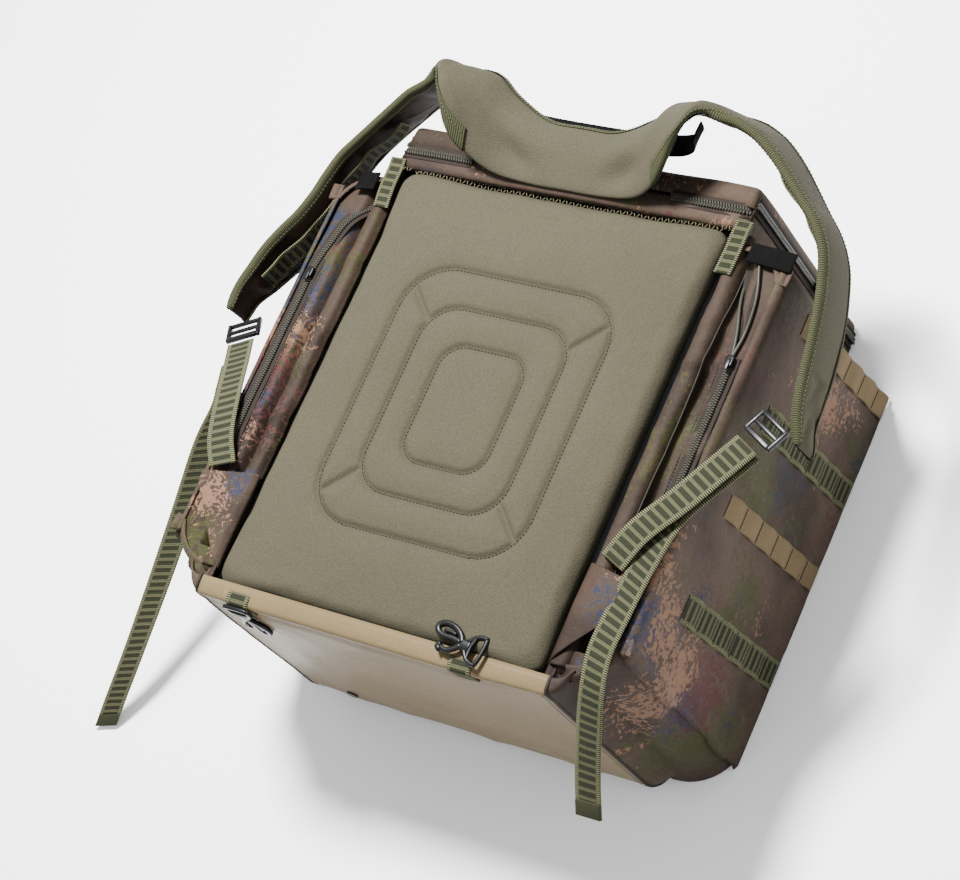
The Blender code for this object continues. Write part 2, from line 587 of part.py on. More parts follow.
def stabiliser(side):
    """Short black webbing from the bag's upper side towards the shoulder pad."""
    reach = STABILISER_REACH[side]
    route = mirror_x([(STABILISER_X, 0.218, 0.2860), (STABILISER_X + reach / 2, 0.2165, 0.2875),
                      (STABILISER_X + reach, 0.214, 0.2865)], side)
    across = [(0, 1, 0), (0, 1, 0)]
    band(f"{side_name(side)}_stabiliser_web", "black_webbing",
         webbing_rows(route, across, STABILISER_WIDTH, 5), WEB_THICKNESS)


def grab_handle():
    half = Vector((0, HANDLE_WIDTH / 2, 0))
    profile = [(-x, z) for x, z in HANDLE_PROFILE] + list(HANDLE_PROFILE[-2::-1])
    route = smooth_path([(x, HANDLE_Y, z) for x, z in profile], 17)
    rows = [[p - half, p + half] for p in route]
    band("grab_handle", "black_webbing", rows, HANDLE_THICKNESS, (0, HANDLE_Y, HANDLE_PROFILE[0][1]))


# ---- hip-belt hooks -----------------------------------------------------------------------
def hook_outline():
    """Flat hook: a wide head for the loop, a waist, and a nose that turns back on one side."""
    w, length, limb = HOOK_WIDTH / 2, HOOK_LENGTH, HOOK_LIMB
    nose = length - 3 * limb
    return [(-w, 0), (w, 0), (w, 2 * limb), (limb, 3 * limb), (limb, nose), (w - limb, nose),
            (w - limb, nose - 2 * limb), (w, nose - 2 * limb), (w, length - limb), (w - limb, length),
            (-limb, length), (-limb, 3 * limb), (-w, 2 * limb)]


def hook(side, loop_x, on_pad):
    word = side_name(side)
    pin = Vector((loop_x, BODY_BOTTOM_Y - HOOK_STANDOFF, HOOK_PIN_Z))
    box(f"{word}_hook_loop", "olive_webbing",
        (loop_x - HOOK_LOOP_WIDTH / 2, BODY_BOTTOM_Y - GAP - STRIP_THICKNESS, HOOK_PIN_Z - HOOK_LOOP_LENGTH),
        (loop_x + HOOK_LOOP_WIDTH / 2, BODY_BOTTOM_Y - GAP, HOOK_PIN_Z))
    bm = bmesh.new()
    face = bm.faces.new([bm.verts.new((x, y, -HOOK_THICKNESS / 2)) for x, y in hook_outline()])
    run = bmesh.ops.extrude_face_region(bm, geom=[face])
    moved = [item for item in run["geom"] if isinstance(item, bmesh.types.BMVert)]
    bmesh.ops.translate(bm, verts=moved, vec=(0, 0, HOOK_THICKNESS))
    if on_pad:
        lying = Vector((loop_x + HOOK_LENGTH * HOOK_LYING_SHIFT, BODY_BOTTOM_Y + HOOK_WIDTH / 2,
                        BOARD_TOP_Z + PAD_THICKNESS + HOOK_THICKNESS / 2 + HOOK_REST))
        place = Matrix.Translation(lying) @ Matrix.Rotation(HOOK_LYING_TURN, 4, "Z")
    else:
        place = Matrix.Translation(pin) @ Matrix.Rotation(-math.pi / 2, 4, "X")
    bmesh.ops.transform(bm, matrix=place, verts=bm.verts)
    finish_mesh(f"{word}_hip_hook", "black_plastic", bm, pin)


def main():
    clear_scene()
    back()
    base()
    body_panels()
    front_pocket()
    lid()
    yoke()
    grab_handle()
    for side in (-1, 1):
        side_pocket(side)
        trims(side)
        strap(side)
        ladder_lock(side)
        lower_webbing(side)
        daisy_chain(side)
        stabiliser(side)
    hook(-1, HOOK_X[-1], False)
    hook(1, HOOK_X[1], True)


main()
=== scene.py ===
"""Looks of the tackle backpack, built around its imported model.

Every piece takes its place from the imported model's boxes or from the named sizes below. All sizes
are in metres: X across the bag, Y from its base to its yoke, Z from its front face to its back panel.
"""
import bisect
import math

import bmesh
import bpy
from bpy.props import FloatProperty, FloatVectorProperty, IntProperty, PointerProperty
from mathutils import Matrix, Vector, noise


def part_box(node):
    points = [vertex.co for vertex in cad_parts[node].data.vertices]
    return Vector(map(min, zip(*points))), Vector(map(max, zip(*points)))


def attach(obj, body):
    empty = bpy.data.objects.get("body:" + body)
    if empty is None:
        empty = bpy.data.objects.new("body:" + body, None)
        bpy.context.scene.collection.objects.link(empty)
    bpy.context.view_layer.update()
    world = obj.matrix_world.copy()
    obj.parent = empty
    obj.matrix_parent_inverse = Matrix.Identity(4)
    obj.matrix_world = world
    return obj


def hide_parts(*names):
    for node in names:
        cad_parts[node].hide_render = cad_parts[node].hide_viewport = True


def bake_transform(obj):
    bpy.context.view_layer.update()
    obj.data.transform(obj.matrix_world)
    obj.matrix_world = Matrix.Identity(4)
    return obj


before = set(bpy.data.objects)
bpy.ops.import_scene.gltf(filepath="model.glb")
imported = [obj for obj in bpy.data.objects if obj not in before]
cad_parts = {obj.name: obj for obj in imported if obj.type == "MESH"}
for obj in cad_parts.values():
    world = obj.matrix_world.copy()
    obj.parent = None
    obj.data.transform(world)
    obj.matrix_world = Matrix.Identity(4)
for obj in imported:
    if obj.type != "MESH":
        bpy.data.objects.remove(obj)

bl_info = {
    "name": "Tackle Backpack",
    "version": (1, 0, 0),
    "blender": (4, 5, 0),
    "location": "View3D > Sidebar > Backpack",
    "description": "Builds the fabric, webbing, zips and hardware of a tackle backpack",
    "category": "Add Mesh",
}

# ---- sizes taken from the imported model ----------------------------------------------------
PAD_LOW, PAD_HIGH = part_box("back_pad")
BASE_LOW, BASE_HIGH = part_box("base_cover")
LID_LOW, LID_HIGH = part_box("lid")
COLLAR_LOW, COLLAR_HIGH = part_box("back_collar")
POCKET_LOW, POCKET_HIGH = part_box("right_pocket_back")
STRIP_LOW, STRIP_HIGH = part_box("right_strip_1")
BODY_X = LID_HIGH.x
POCKET_X = POCKET_HIGH.x
POCKET_Z = POCKET_HIGH.z

# ---- sizes of the looks -------------------------------------------------------------------
BASE_CORNER = 0.050
BASE_LIP = 0.020
BASE_TURN = 0.018                        # how far the base folds in under the back pad
POCKET_CORNERS = (0.045, 0.056)          # upper and lower corner of a side pocket, in plan
POCKET_EDGE = 0.007                      # rounding between a pocket's wall and its top
POCKET_ZIP_X = 0.250
POCKET_ZIP_LOW_Y = -0.120
POCKET_ZIP_BEND_Y = 0.110
FABRIC = 0.0022
WEB_THICKNESS = 0.0016
RIB_PITCH = 0.0088                       # ladder webbing's cross ribs
RIB_HEIGHT = 0.00045
TACK_PITCH = 0.038
STRIP_EDGE_Y = (0.197, 0.098, 0.002, -0.102)
STRIP_TILT = math.radians(5.0)
HARNESS_THICKNESS = 0.012
HOOK_PIN_Y, HOOK_PIN_Z = -0.256, 0.284

# At each distance from the middle: the yoke's root rim, its crest and its neck edge, as (y, z).
YOKE_STATIONS = (
    (0.000, (0.2490, 0.3035), (0.285, 0.307), (0.312, 0.3035)),
    (0.040, (0.2490, 0.3035), (0.286, 0.308), (0.313, 0.3045)),
    (0.080, (0.2500, 0.3090), (0.300, 0.322), (0.330, 0.3080)),
    (0.105, (0.2530, 0.3220), (0.315, 0.342), (0.346, 0.3080)),
    (0.125, (0.2620, 0.3450), (0.320, 0.355), (0.352, 0.3020)),
    (0.140, (0.2850, 0.3600), (0.325, 0.360), (0.352, 0.2960)),
    (0.155, (0.3140, 0.3620), (0.333, 0.354), (0.350, 0.2920)),
)
# Upper rim of each shoulder strap after the yoke, and the way down from it to the lower edge.
RIM = {
    1: ((0.180, 0.323, 0.349), (0.204, 0.314, 0.338), (0.229, 0.297, 0.326),
        (0.262, 0.268, 0.312), (0.287, 0.243, 0.303), (0.298, 0.215, 0.292), (0.307, 0.173, 0.284),
        (0.312, 0.125, 0.275), (0.316, 0.082, 0.264), (0.324, 0.052, 0.250)),
    -1: ((0.187, 0.305, 0.339), (0.217, 0.280, 0.323), (0.245, 0.253, 0.311),
         (0.267, 0.226, 0.303), (0.281, 0.190, 0.295), (0.299, 0.159, 0.287), (0.318, 0.135, 0.281),
         (0.333, 0.100, 0.274), (0.342, 0.077, 0.268), (0.345, 0.055, 0.262)),
}
DROP = {
    1: ((0.000, 0.036, -0.068), (-0.004, 0.020, -0.067), (-0.002, 0.006, -0.070), (0.004, 0.000, -0.046)),
    -1: ((0.000, 0.036, -0.068), (0.014, 0.019, -0.066), (0.000, 0.000, -0.070), (-0.004, 0.002, -0.046)),
}
LOCK_CENTRE = {1: (0.311, 0.048, 0.281), -1: (-0.318, 0.036, 0.260)}
LOCK_WAY = {1: (-0.47, -0.88, 0.05), -1: (0.457, -0.846, 0.27)}
WEB_ROUTE = {
    1: ((0.3005, 0.029, 0.2855), (0.286, -0.006, 0.295), (0.267, -0.044, 0.301), (0.239, -0.082, 0.299),
        (0.222, -0.115, 0.2925)),
    -1: ((-0.309, 0.020, 0.2665), (-0.292, -0.008, 0.279), (-0.271, -0.050, 0.293), (-0.256, -0.092, 0.295),
         (-0.240, -0.120, 0.2925)),
}
TAIL_ROUTE = {
    1: ((0.302, 0.026, 0.277), (0.286, -0.008, 0.285), (0.264, -0.055, 0.2925), (0.253, -0.105, 0.2905),
        (0.249, -0.156, 0.2915), (0.2475, -0.199, 0.2922), (0.2488, -0.2307, 0.2820), (0.2442, -0.2636, 0.2478),
        (0.241, -0.297, 0.211), (0.243, -0.325, 0.185)),
    -1: ((-0.3345, 0.0085, 0.2335), (-0.3420, -0.011, 0.2165), (-0.349, -0.028, 0.202), (-0.366, -0.064, 0.180),
         (-0.386, -0.134, 0.140), (-0.407, -0.207, 0.100), (-0.430, -0.278, 0.060), (-0.452, -0.328, 0.026),
         (-0.466, -0.356, 0.004)),
}
TAIL_ACROSS = {
    1: ((0.88, -0.47, 0.0), (0.88, -0.47, 0.0), (0.94, -0.33, 0.0), (1.0, -0.08, 0.0), (1.0, 0.02, 0.0)),
    -1: ((-0.88, -0.475, 0.0), (-0.80, -0.45, 0.35), (-0.9, -0.3, 0.15), (-0.95, -0.3, 0.0), (-0.95, -0.3, 0.0)),
}
HANDLE_Y = 0.3115
HANDLE_PROFILE = ((-0.140, 0.330), (-0.134, 0.312), (-0.110, 0.296), (-0.060, 0.2870), (0.0, 0.2850),
                  (0.060, 0.2870), (0.110, 0.296), (0.134, 0.312), (0.140, 0.330))


# ---- user settings ------------------------------------------------------------------------
def colour_setting(name, description, default):
    return FloatVectorProperty(
        name=name, description=description, default=default, size=3, min=0, max=1, subtype="COLOR")


def length_setting(name, description, default):
    return FloatProperty(
        name=name, description=description, default=default, min=0, unit="LENGTH", subtype="DISTANCE")


class BackpackColours(bpy.types.PropertyGroup):
    """Colours of the backpack's cloths, webbing and plastic"""
    knit: colour_setting("Knit", "Padded knit of the back pad and harness", (0.0400, 0.0362, 0.0232))
    camo_ground: colour_setting("Camouflage Ground", "Main brown of the printed cloth", (0.041, 0.0272, 0.0192))
    camo_shade: colour_setting("Camouflage Shade", "Darker brown of the printed cloth", (0.019, 0.0122, 0.0088))
    camo_sand: colour_setting("Camouflage Sand", "Pale pinkish sand of the print", (0.118, 0.064, 0.039))
    camo_leaf: colour_setting("Camouflage Leaf", "Green brown of the print", (0.024, 0.026, 0.008))
    camo_dusk: colour_setting("Camouflage Dusk", "Blue grey of the print", (0.010, 0.014, 0.028))
    camo_berry: colour_setting("Camouflage Berry", "Wine red of the print", (0.040, 0.013, 0.012))
    coated: colour_setting("Coated Cloth", "Tan coated cloth of the base", (0.108, 0.079, 0.041))
    olive_web: colour_setting("Olive Webbing", "Ladder webbing", (0.052, 0.052, 0.027))
    # Painted shade: a near-black olive that stands for the shade in the gaps between the ladder webbing's ribs and
    # between its edge ticks.
    olive_gap_shade: colour_setting("Olive Webbing Gaps", "Gaps between the ladder webbing's ribs", (0.009, 0.010, 0.0055))
    olive_edge: colour_setting("Olive Webbing Edge", "Edge stitches of the ladder webbing", (0.125, 0.127, 0.066))
    tan_web: colour_setting("Tan Webbing", "Plain webbing of the loops", (0.120, 0.088, 0.050))
    black: colour_setting("Black", "Moulded plastic and black webbing", (0.004, 0.004, 0.0044))


class BackpackSizes(bpy.types.PropertyGroup):
    """Sizes of the backpack's folds, quilting and edges"""
    pad_crown: length_setting("Pad Crown", "How far the back pad may swell", 0.0055)
    seam_depth: length_setting("Quilting Depth", "Depth of the pad's pressed seams", 0.0058)
    wrinkle: length_setting("Wrinkle Height", "Height of the folds in the printed cloth", 0.0030)
    binding: length_setting("Binding", "Thickness of the harness's edge binding", 0.0010)
    cloth_frames: IntProperty(name="Cloth Frames", description="Steps of the cloth simulation",
                              default=20, min=2, max=60)
    floor: length_setting("Floor", "Width of the floor", 9.0)


def colours():
    return bpy.context.scene.backpack_colours


def sizes():
    return bpy.context.scene.backpack_sizes


FINISH_PREFIX = "look_"


# ---- shader building ----------------------------------------------------------------------
class Finish:
    """A material under construction, with short calls for the nodes it needs."""

    def __init__(self, name, roughness, **shader_values):
        self.material = bpy.data.materials.new(FINISH_PREFIX + name)
        self.material.use_nodes = True
        self.nodes = self.material.node_tree.nodes
        self.links = self.material.node_tree.links
        self.shader = self.nodes["Principled BSDF"]
        self.shader.inputs["Roughness"].default_value = roughness
        for key, value in shader_values.items():
            self.shader.inputs[key.replace("_", " ").title().replace("Ior", "IOR")].default_value = value

    def add(self, kind, inputs=None, **settings):
        node = self.nodes.new(kind)
        for key, value in settings.items():
            setattr(node, key, value)
        for key, value in (inputs or {}).items():
            if isinstance(value, bpy.types.NodeSocket):
                self.links.new(value, node.inputs[key])
            else:
                node.inputs[key].default_value = value
        return node

    def place(self):
        return self.add("ShaderNodeTexCoord").outputs["Object"]

    def cloth(self):
        return self.add("ShaderNodeUVMap", uv_map="cloth").outputs["UV"]

    def noise(self, where, scale, detail=3.0, distortion=0.0):
        return self.add("ShaderNodeTexNoise", {
            "Vector": where, "Scale": scale, "Detail": detail, "Distortion": distortion}).outputs["Fac"]

    def cells(self, where, scale, output="Distance"):
        return self.add("ShaderNodeTexVoronoi", {"Vector": where, "Scale": scale}).outputs[output]

    def waves(self, where, scale, direction="X", distortion=0.0):
        return self.add("ShaderNodeTexWave", {
            "Vector": where, "Scale": scale, "Distortion": distortion},
            bands_direction=direction).outputs["Fac"]

    def steps(self, value, low, high):
        """0 below low, 1 above high, smooth between."""
        return self.add("ShaderNodeMapRange", {
            "Value": value, "From Min": low, "From Max": high}, interpolation_type="SMOOTHSTEP").outputs["Result"]

    def sums(self, operation, first, second=0.0, third=0.0):
        return self.add("ShaderNodeMath", {0: first, 1: second, 2: third}, operation=operation).outputs[0]

    def mix(self, share, first, second, blend="MIX"):
        node = self.add("ShaderNodeMix", data_type="RGBA", blend_type=blend)
        for index, value in ((0, share), (6, first), (7, second)):
            if isinstance(value, bpy.types.NodeSocket):
                self.links.new(value, node.inputs[index])
            elif index:
                node.inputs[index].default_value = (*value, 1.0)
            else:
                node.inputs[index].default_value = value
        return node.outputs[2]

    def tone(self, colour, amount):
        """The colour brightened or darkened by a socket around 0.5."""
        gain = self.sums("MULTIPLY_ADD", amount[0], amount[1], 1.0 - amount[1] / 2)
        grey = self.add("ShaderNodeCombineColor", {0: gain, 1: gain, 2: gain}).outputs[0]
        return self.mix(1.0, colour, grey, "MULTIPLY")

    def split(self, vector):
        return self.add("ShaderNodeSeparateXYZ", {0: vector}).outputs

    def colour(self, socket):
        self.links.new(socket, self.shader.inputs["Base Color"])

    def rough(self, socket):
        self.links.new(socket, self.shader.inputs["Roughness"])

    def relief(self, *layers):
        """Bumps, each a (height, metres) pair, one on top of the other."""
        normal = None
        for height, distance in layers:
            inputs = {"Height": height, "Distance": distance}
            if normal:
                inputs["Normal"] = normal
            normal = self.add("ShaderNodeBump", inputs).outputs["Normal"]
        self.links.new(normal, self.shader.inputs["Normal"])


def knit_finish():
    made = Finish("knit", 0.92, specular_ior_level=0.10)
    where = made.place()
    grain = made.noise(where, 620.0, 2.0)
    loops = made.noise(where, 1100.0, 1.0)
    cloudy = made.noise(where, 9.0, 3.0)
    base = made.tone(colours().knit, (grain, 0.8))
    base = made.tone(base, (cloudy, 0.24))
    made.colour(made.tone(base, (loops, 0.5)))
    made.relief((grain, 0.0005), (loops, 0.0003))


# Patches of the print: middle of the patch, its radius, and what is printed there.
PRINT_PATCHES = (
    ((0.262, -0.185, 0.175), 0.075, "sand"), ((0.268, -0.150, 0.245), 0.052, "sand"),
    ((0.270, 0.020, 0.170), 0.042, "leaf"), ((0.270, 0.045, 0.205), 0.050, "leaf"),
    ((0.262, -0.200, 0.090), 0.085, "leaf"), ((0.258, -0.155, 0.283), 0.045, "dusk"),
    ((0.266, -0.190, 0.130), 0.050, "dusk"), ((0.268, -0.160, 0.120), 0.060, "berry"),
    ((0.270, -0.070, 0.120), 0.040, "leaf"), ((0.270, 0.150, 0.110), 0.030, "sand"),
    ((0.250, -0.110, 0.285), 0.040, "sand"),
    ((-0.258, 0.040, 0.285), 0.060, "sand"), ((-0.256, 0.085, 0.285), 0.050, "dusk"),
    ((-0.258, 0.010, 0.285), 0.055, "leaf"), ((-0.256, 0.130, 0.285), 0.045, "leaf"),
    ((-0.250, 0.160, 0.285), 0.035, "dusk"), ((-0.256, -0.040, 0.285), 0.045, "dusk"),
    ((-0.252, -0.005, 0.285), 0.040, "berry"), ((-0.262, -0.070, 0.270), 0.050, "sand"),
    ((-0.238, -0.150, 0.287), 0.034, "sand"), ((-0.215, -0.128, 0.287), 0.022, "dusk"),
    ((-0.236, -0.200, 0.270), 0.040, "leaf"), ((-0.245, -0.190, 0.200), 0.060, "dusk"),
)


def camo_finish(name="camo", roughness=0.80, gloss=0.14, ground_gain=1.0):
    made = Finish(name, roughness, specular_ior_level=gloss)
    tint = colours()
    where = made.place()
    drift = made.add("ShaderNodeTexNoise", {"Vector": where, "Scale": 38.0, "Detail": 4.0}).outputs["Color"]
    shifted = made.add("ShaderNodeVectorMath", {0: drift, 1: (0.5, 0.5, 0.5)}, operation="SUBTRACT").outputs[0]
    shifted = made.add("ShaderNodeVectorMath", {0: shifted, 3: 0.035}, operation="SCALE").outputs[0]
    bent = made.add("ShaderNodeVectorMath", {0: where, 1: shifted}, operation="ADD").outputs[0]
    broad = made.noise(where, 8.0, 3.0)
    fine = made.noise(where, 140.0, 3.0)
    speck = made.noise(where, 330.0, 2.0)
    dabs = made.cells(bent, 120.0)
    flecks = made.cells(bent, 330.0, "Color")
    fleck = made.split(flecks)[0]
    ground = tuple(ground_gain * part for part in tint.camo_ground)
    shade = tuple(ground_gain * part for part in tint.camo_shade)
    coat = made.mix(made.steps(broad, 0.42, 0.68), ground, shade)
    inks = {"sand": tint.camo_sand, "leaf": tint.camo_leaf, "dusk": tint.camo_dusk, "berry": tint.camo_berry}
    for ink, scale, seed, low in (("leaf", 11.0, 3.1, 0.66), ("sand", 13.0, 7.7, 0.735), ("dusk", 12.0, 11.9, 0.735),
                                  ("berry", 10.0, 17.3, 0.735)):
        moved = made.add("ShaderNodeVectorMath", {0: bent, 1: (seed, seed, seed)}, operation="ADD").outputs[0]
        area = made.noise(moved, scale, 2.0)
        near = area
        for middle, radius, kind in PRINT_PATCHES:
            if kind != ink:
                continue
            gap = made.add("ShaderNodeVectorMath", {0: bent, 1: middle}, operation="DISTANCE").outputs["Value"]
            closeness = made.sums("MULTIPLY_ADD", gap, -0.50 / radius, 1.08)
            near = made.sums("MAXIMUM", near, closeness)
        rim = made.sums("MULTIPLY_ADD", fleck, 0.34, near)
        mask = made.steps(rim, low + 0.17, low + 0.22)
        crumbs = made.steps(made.sums("MULTIPLY_ADD", fine, 0.7, made.sums("MULTIPLY", dabs, 0.5)), 0.46, 0.56)
        mask = made.sums("MULTIPLY", made.sums("MULTIPLY", mask, crumbs), 0.85)
        coat = made.mix(mask, coat, inks[ink])
    coat = made.tone(coat, (speck, 0.5))
    coat = made.tone(coat, (fine, 0.4))
    made.colour(coat)
    made.relief((made.noise(where, 60.0, 3.0), 0.0014), (made.noise(where, 700.0, 2.0), 0.0003))


def coated_finish():
    made = Finish("coated", 0.60, specular_ior_level=0.06)
    where = made.place()
    cloudy = made.noise(where, 7.0, 4.0, 0.6)
    grain = made.noise(where, 260.0, 2.0)
    scuffs = made.steps(made.noise(where, 42.0, 6.0, 1.5), 0.60, 0.74)
    base = made.tone(colours().coated, (cloudy, 0.30))
    base = made.tone(base, (grain, 0.14))
    made.colour(made.mix(made.sums("MULTIPLY", scuffs, 0.35), base, (0.15, 0.112, 0.062)))
    made.rough(made.sums("MULTIPLY_ADD", scuffs, 0.18, 0.40))
    made.relief((made.noise(where, 24.0, 3.0), 0.0016), (grain, 0.00025))


def lining_finish():
    # Partly painted shade: the lining's own dark brown is darkened further, towards near-black, to stand for the
    # shadow on the strap's underside.
    made = Finish("lining", 0.62, specular_ior_level=0.05)
    where = made.place()
    cloudy = made.noise(where, 18.0, 4.0, 0.8)
    grain = made.noise(where, 420.0, 2.0)
    base = made.mix(made.steps(cloudy, 0.35, 0.70), (0.024, 0.0145, 0.0100), (0.005, 0.0033, 0.0026))
    made.colour(made.tone(base, (grain, 0.4)))
    made.relief((cloudy, 0.004), (grain, 0.0003))


def ladder_finish():
    """Ribbed webbing with painted shade in the gaps between its ribs: the UV map runs across in x and along in y, in
    metres.
    """
    made = Finish("ladder_webbing", 0.85, specular_ior_level=0.10)
    across, along, _ = made.split(made.cloth())
    tint = colours()
    off_centre = made.sums("ABSOLUTE", made.sums("SUBTRACT", across, 0.015))
    beat = made.sums("PINGPONG", along, RIB_PITCH / 2)
    # Painted shade: this mask darkens the webbing in the sunken gaps between its raised ribs.
    gap = made.steps(beat, RIB_PITCH * 0.17, RIB_PITCH * 0.24)
    inner = made.sums("SUBTRACT", 1.0, made.steps(off_centre, 0.0098, 0.0106))
    threads = made.sums("PINGPONG", across, 0.0009)
    thread = made.steps(threads, 0.0002, 0.0007)
    dark = made.mix(thread, tint.olive_gap_shade, tuple(2.1 * part for part in tint.olive_gap_shade))
    body = made.mix(made.sums("MULTIPLY", gap, inner), tint.olive_web, dark)
    ticks = made.steps(made.sums("PINGPONG", along, 0.0011), 0.00045, 0.00070)
    edge = made.steps(off_centre, 0.0112, 0.0117)
    # Painted shade between the edge ticks: the near-black gap colour fills the spaces between the pale edge
    # stitches.
    lit = made.mix(ticks, tint.olive_gap_shade, tint.olive_edge)
    body = made.mix(edge, body, lit)
    grain = made.noise(made.place(), 500.0, 2.0)
    made.colour(made.tone(body, (grain, 0.55)))
    made.relief((grain, 0.0004), (thread, 0.0002), (ticks, 0.0003))


def plain_webbing_finish(name, colour, gain):
    made = Finish(name, 0.90, specular_ior_level=0.03)
    across, along, _ = made.split(made.cloth())
    cords = made.sums("PINGPONG", across, 0.0008)
    cord = made.steps(cords, 0.0001, 0.0006)
    weft = made.steps(made.sums("PINGPONG", along, 0.0005), 0.0001, 0.0004)
    grain = made.noise(made.place(), 460.0, 2.0)
    broad = made.noise(made.place(), 35.0, 2.0)
    base = made.tone(colour, (cord, gain))
    base = made.tone(base, (broad, 0.22))
    made.colour(made.tone(base, (grain, 0.45)))
    made.relief((cord, 0.0004), (weft, 0.0002), (grain, 0.0002))


def binding_finish():
    made = Finish("binding", 0.85, specular_ior_level=0.10)
    _, along, _ = made.split(made.cloth())
    rib = made.steps(made.sums("PINGPONG", along, 0.0012), 0.0003, 0.0009)
    grain = made.noise(made.place(), 420.0, 2.0)
    base = made.mix(rib, (0.018, 0.019, 0.0095), (0.044, 0.046, 0.023))
    made.colour(made.tone(base, (grain, 0.5)))
    made.relief((rib, 0.0005), (grain, 0.0002))


def plastic_finish():
    made = Finish("black_plastic", 0.30, specular_ior_level=0.14)
    where = made.place()
    scuffs = made.noise(where, 160.0, 4.0)
    made.colour(made.tone(colours().black, (scuffs, 0.5)))
    made.rough(made.sums("MULTIPLY_ADD", scuffs, 0.22, 0.20))
    made.relief((made.noise(where, 600.0, 2.0), 0.0001))


def simple_finish(name, colour, roughness, grain_scale, gain, depth, **values):
    made = Finish(name, roughness, **values)
    grain = made.noise(made.place(), grain_scale, 3.0)
    made.colour(made.tone(colour, (grain, gain)))
    made.relief((grain, depth))


def make_finishes():
    knit_finish()
    camo_finish()
    camo_finish("camo_satin", 0.66, 0.08, 0.66)
    coated_finish()
    lining_finish()
    ladder_finish()
    plain_webbing_finish("tan_webbing", colours().tan_web, 0.30)
    plain_webbing_finish("black_webbing", (0.004, 0.004, 0.004), 0.6)
    binding_finish()
    plastic_finish()
    simple_finish("zip_coil", (0.026, 0.025, 0.019), 0.38, 300.0, 0.4, 0.0001, specular_ior_level=0.16)
    simple_finish("zip_tape", (0.014, 0.010, 0.008), 0.80, 600.0, 0.5, 0.0003, specular_ior_level=0.10)
    simple_finish("dark_thread", (0.012, 0.011, 0.008), 0.80, 900.0, 0.4, 0.0001, specular_ior_level=0.10)
    simple_finish("pale_thread", (0.066, 0.060, 0.034), 0.80, 900.0, 0.4, 0.0001, specular_ior_level=0.10)
    simple_finish("piping", (0.016, 0.014, 0.011), 0.55, 500.0, 0.5, 0.0002, specular_ior_level=0.10)
    simple_finish("board", (0.05, 0.05, 0.05), 0.60, 200.0, 0.3, 0.0002, specular_ior_level=0.10)
    simple_finish("floor", (0.96, 0.96, 0.97), 0.85, 3.0, 0.01, 0.0001, specular_ior_level=0.10)


# ---- mesh building ------------------------------------------------------------------------
def smooth_route(points):
    """Function of 0 to 1 that gives a place on a smooth curve, evenly by length, and its length."""
    knots = [Vector(point) for point in points]
    ends = [knots[0] * 2 - knots[1], *knots, knots[-1] * 2 - knots[-2]]
    dense = []
    for i in range(1, len(ends) - 2):
        a, b, c, d = ends[i - 1:i + 3]
        for step in range(24):
            t = step / 24
            dense.append(0.5 * (2 * b + (c - a) * t + (2 * a - 5 * b + 4 * c - d) * t ** 2
                                + (3 * b - a - 3 * c + d) * t ** 3))
    dense.append(knots[-1])
    reached = [0.0]
    for before, after in zip(dense, dense[1:]):
        reached.append(reached[-1] + (after - before).length)

    def at(share):
        want = min(max(share, 0.0), 1.0) * reached[-1]
        k = min(max(bisect.bisect_right(reached, want) - 1, 0), len(dense) - 2)
        return dense[k].lerp(dense[k + 1], (want - reached[k]) / (reached[k + 1] - reached[k]))

    return at, reached[-1]


def along_route(at, share):
    return (at(share + 0.004) - at(share - 0.004)).normalized()


def knot_blend(knots, share):
    place = min(max(share, 0.0), 1.0) * (len(knots) - 1)
    low = min(int(place), len(knots) - 2)
    return Vector(knots[low]).lerp(Vector(knots[low + 1]), place - low)


def knot_curve(knots, share):
    """Smooth blend through evenly weighted knots."""
    place = min(max(share, 0.0), 1.0) * (len(knots) - 1)
    low = min(int(place), len(knots) - 2)
    t = place - low
    b, c = Vector(knots[low]), Vector(knots[low + 1])
    a = Vector(knots[low - 1]) if low else b * 2 - c
    d = Vector(knots[low + 2]) if low + 2 < len(knots) else c * 2 - b
    return 0.5 * (2 * b + (c - a) * t + (2 * a - 5 * b + 4 * c - d) * t ** 2
                  + (3 * b - a - 3 * c + d) * t ** 3)


def ease(value, low, high):
    share = min(max((value - low) / (high - low), 0.0), 1.0)
    return share * share * (3 - 2 * share)


def ripple(where, scale, stretch=(1.0, 1.0, 1.0), seed=0.0):
    """Smooth noise from -1 to 1."""
    point = Vector((where[0] * stretch[0], where[1] * stretch[1], where[2] * stretch[2])) * scale
    return noise.noise(point + Vector((seed, seed * 0.7, seed * 1.3)))


def crease(where, scale, stretch=(1.0, 1.0, 1.0), seed=0.0):
    """Sharp-ridged noise, 0 away from a fold and 1 on it."""
    return max(0.0, 1.0 - 3.2 * abs(ripple(where, scale, stretch, seed)))


def laid_grid(place, columns, rows, size):
    """A bmesh grid laid over place(u, v), with its UV map in metres."""
    bm = bmesh.new()
    bmesh.ops.create_grid(bm, x_segments=columns, y_segments=rows, size=1.0)
    layer = bm.loops.layers.uv.new("cloth")
    for face in bm.faces:
        for loop in face.loops:
            spot = loop.vert.co
            loop[layer].uv = ((spot.x + 1) / 2 * size[0], (spot.y + 1) / 2 * size[1])
    for vert in bm.verts:
        vert.co = place((vert.co.x + 1) / 2, (vert.co.y + 1) / 2)
    return bm


def box_bmesh(low, high):
    bm = bmesh.new()
    bmesh.ops.create_cube(bm, size=1.0)
    bmesh.ops.scale(bm, vec=[high[i] - low[i] for i in range(3)], verts=bm.verts)
    bmesh.ops.translate(bm, vec=[(high[i] + low[i]) / 2 for i in range(3)], verts=bm.verts)
    return bm


def round_edges(bm, picked, width, segments):
    bmesh.ops.bevel(bm, geom=picked, offset=width, segments=segments, affect="EDGES", profile=0.5, material=-1)


def join_bmesh(target, source):
    mesh = bpy.data.meshes.new("joining")
    source.to_mesh(mesh)
    source.free()
    target.from_mesh(mesh)
    bpy.data.meshes.remove(mesh)


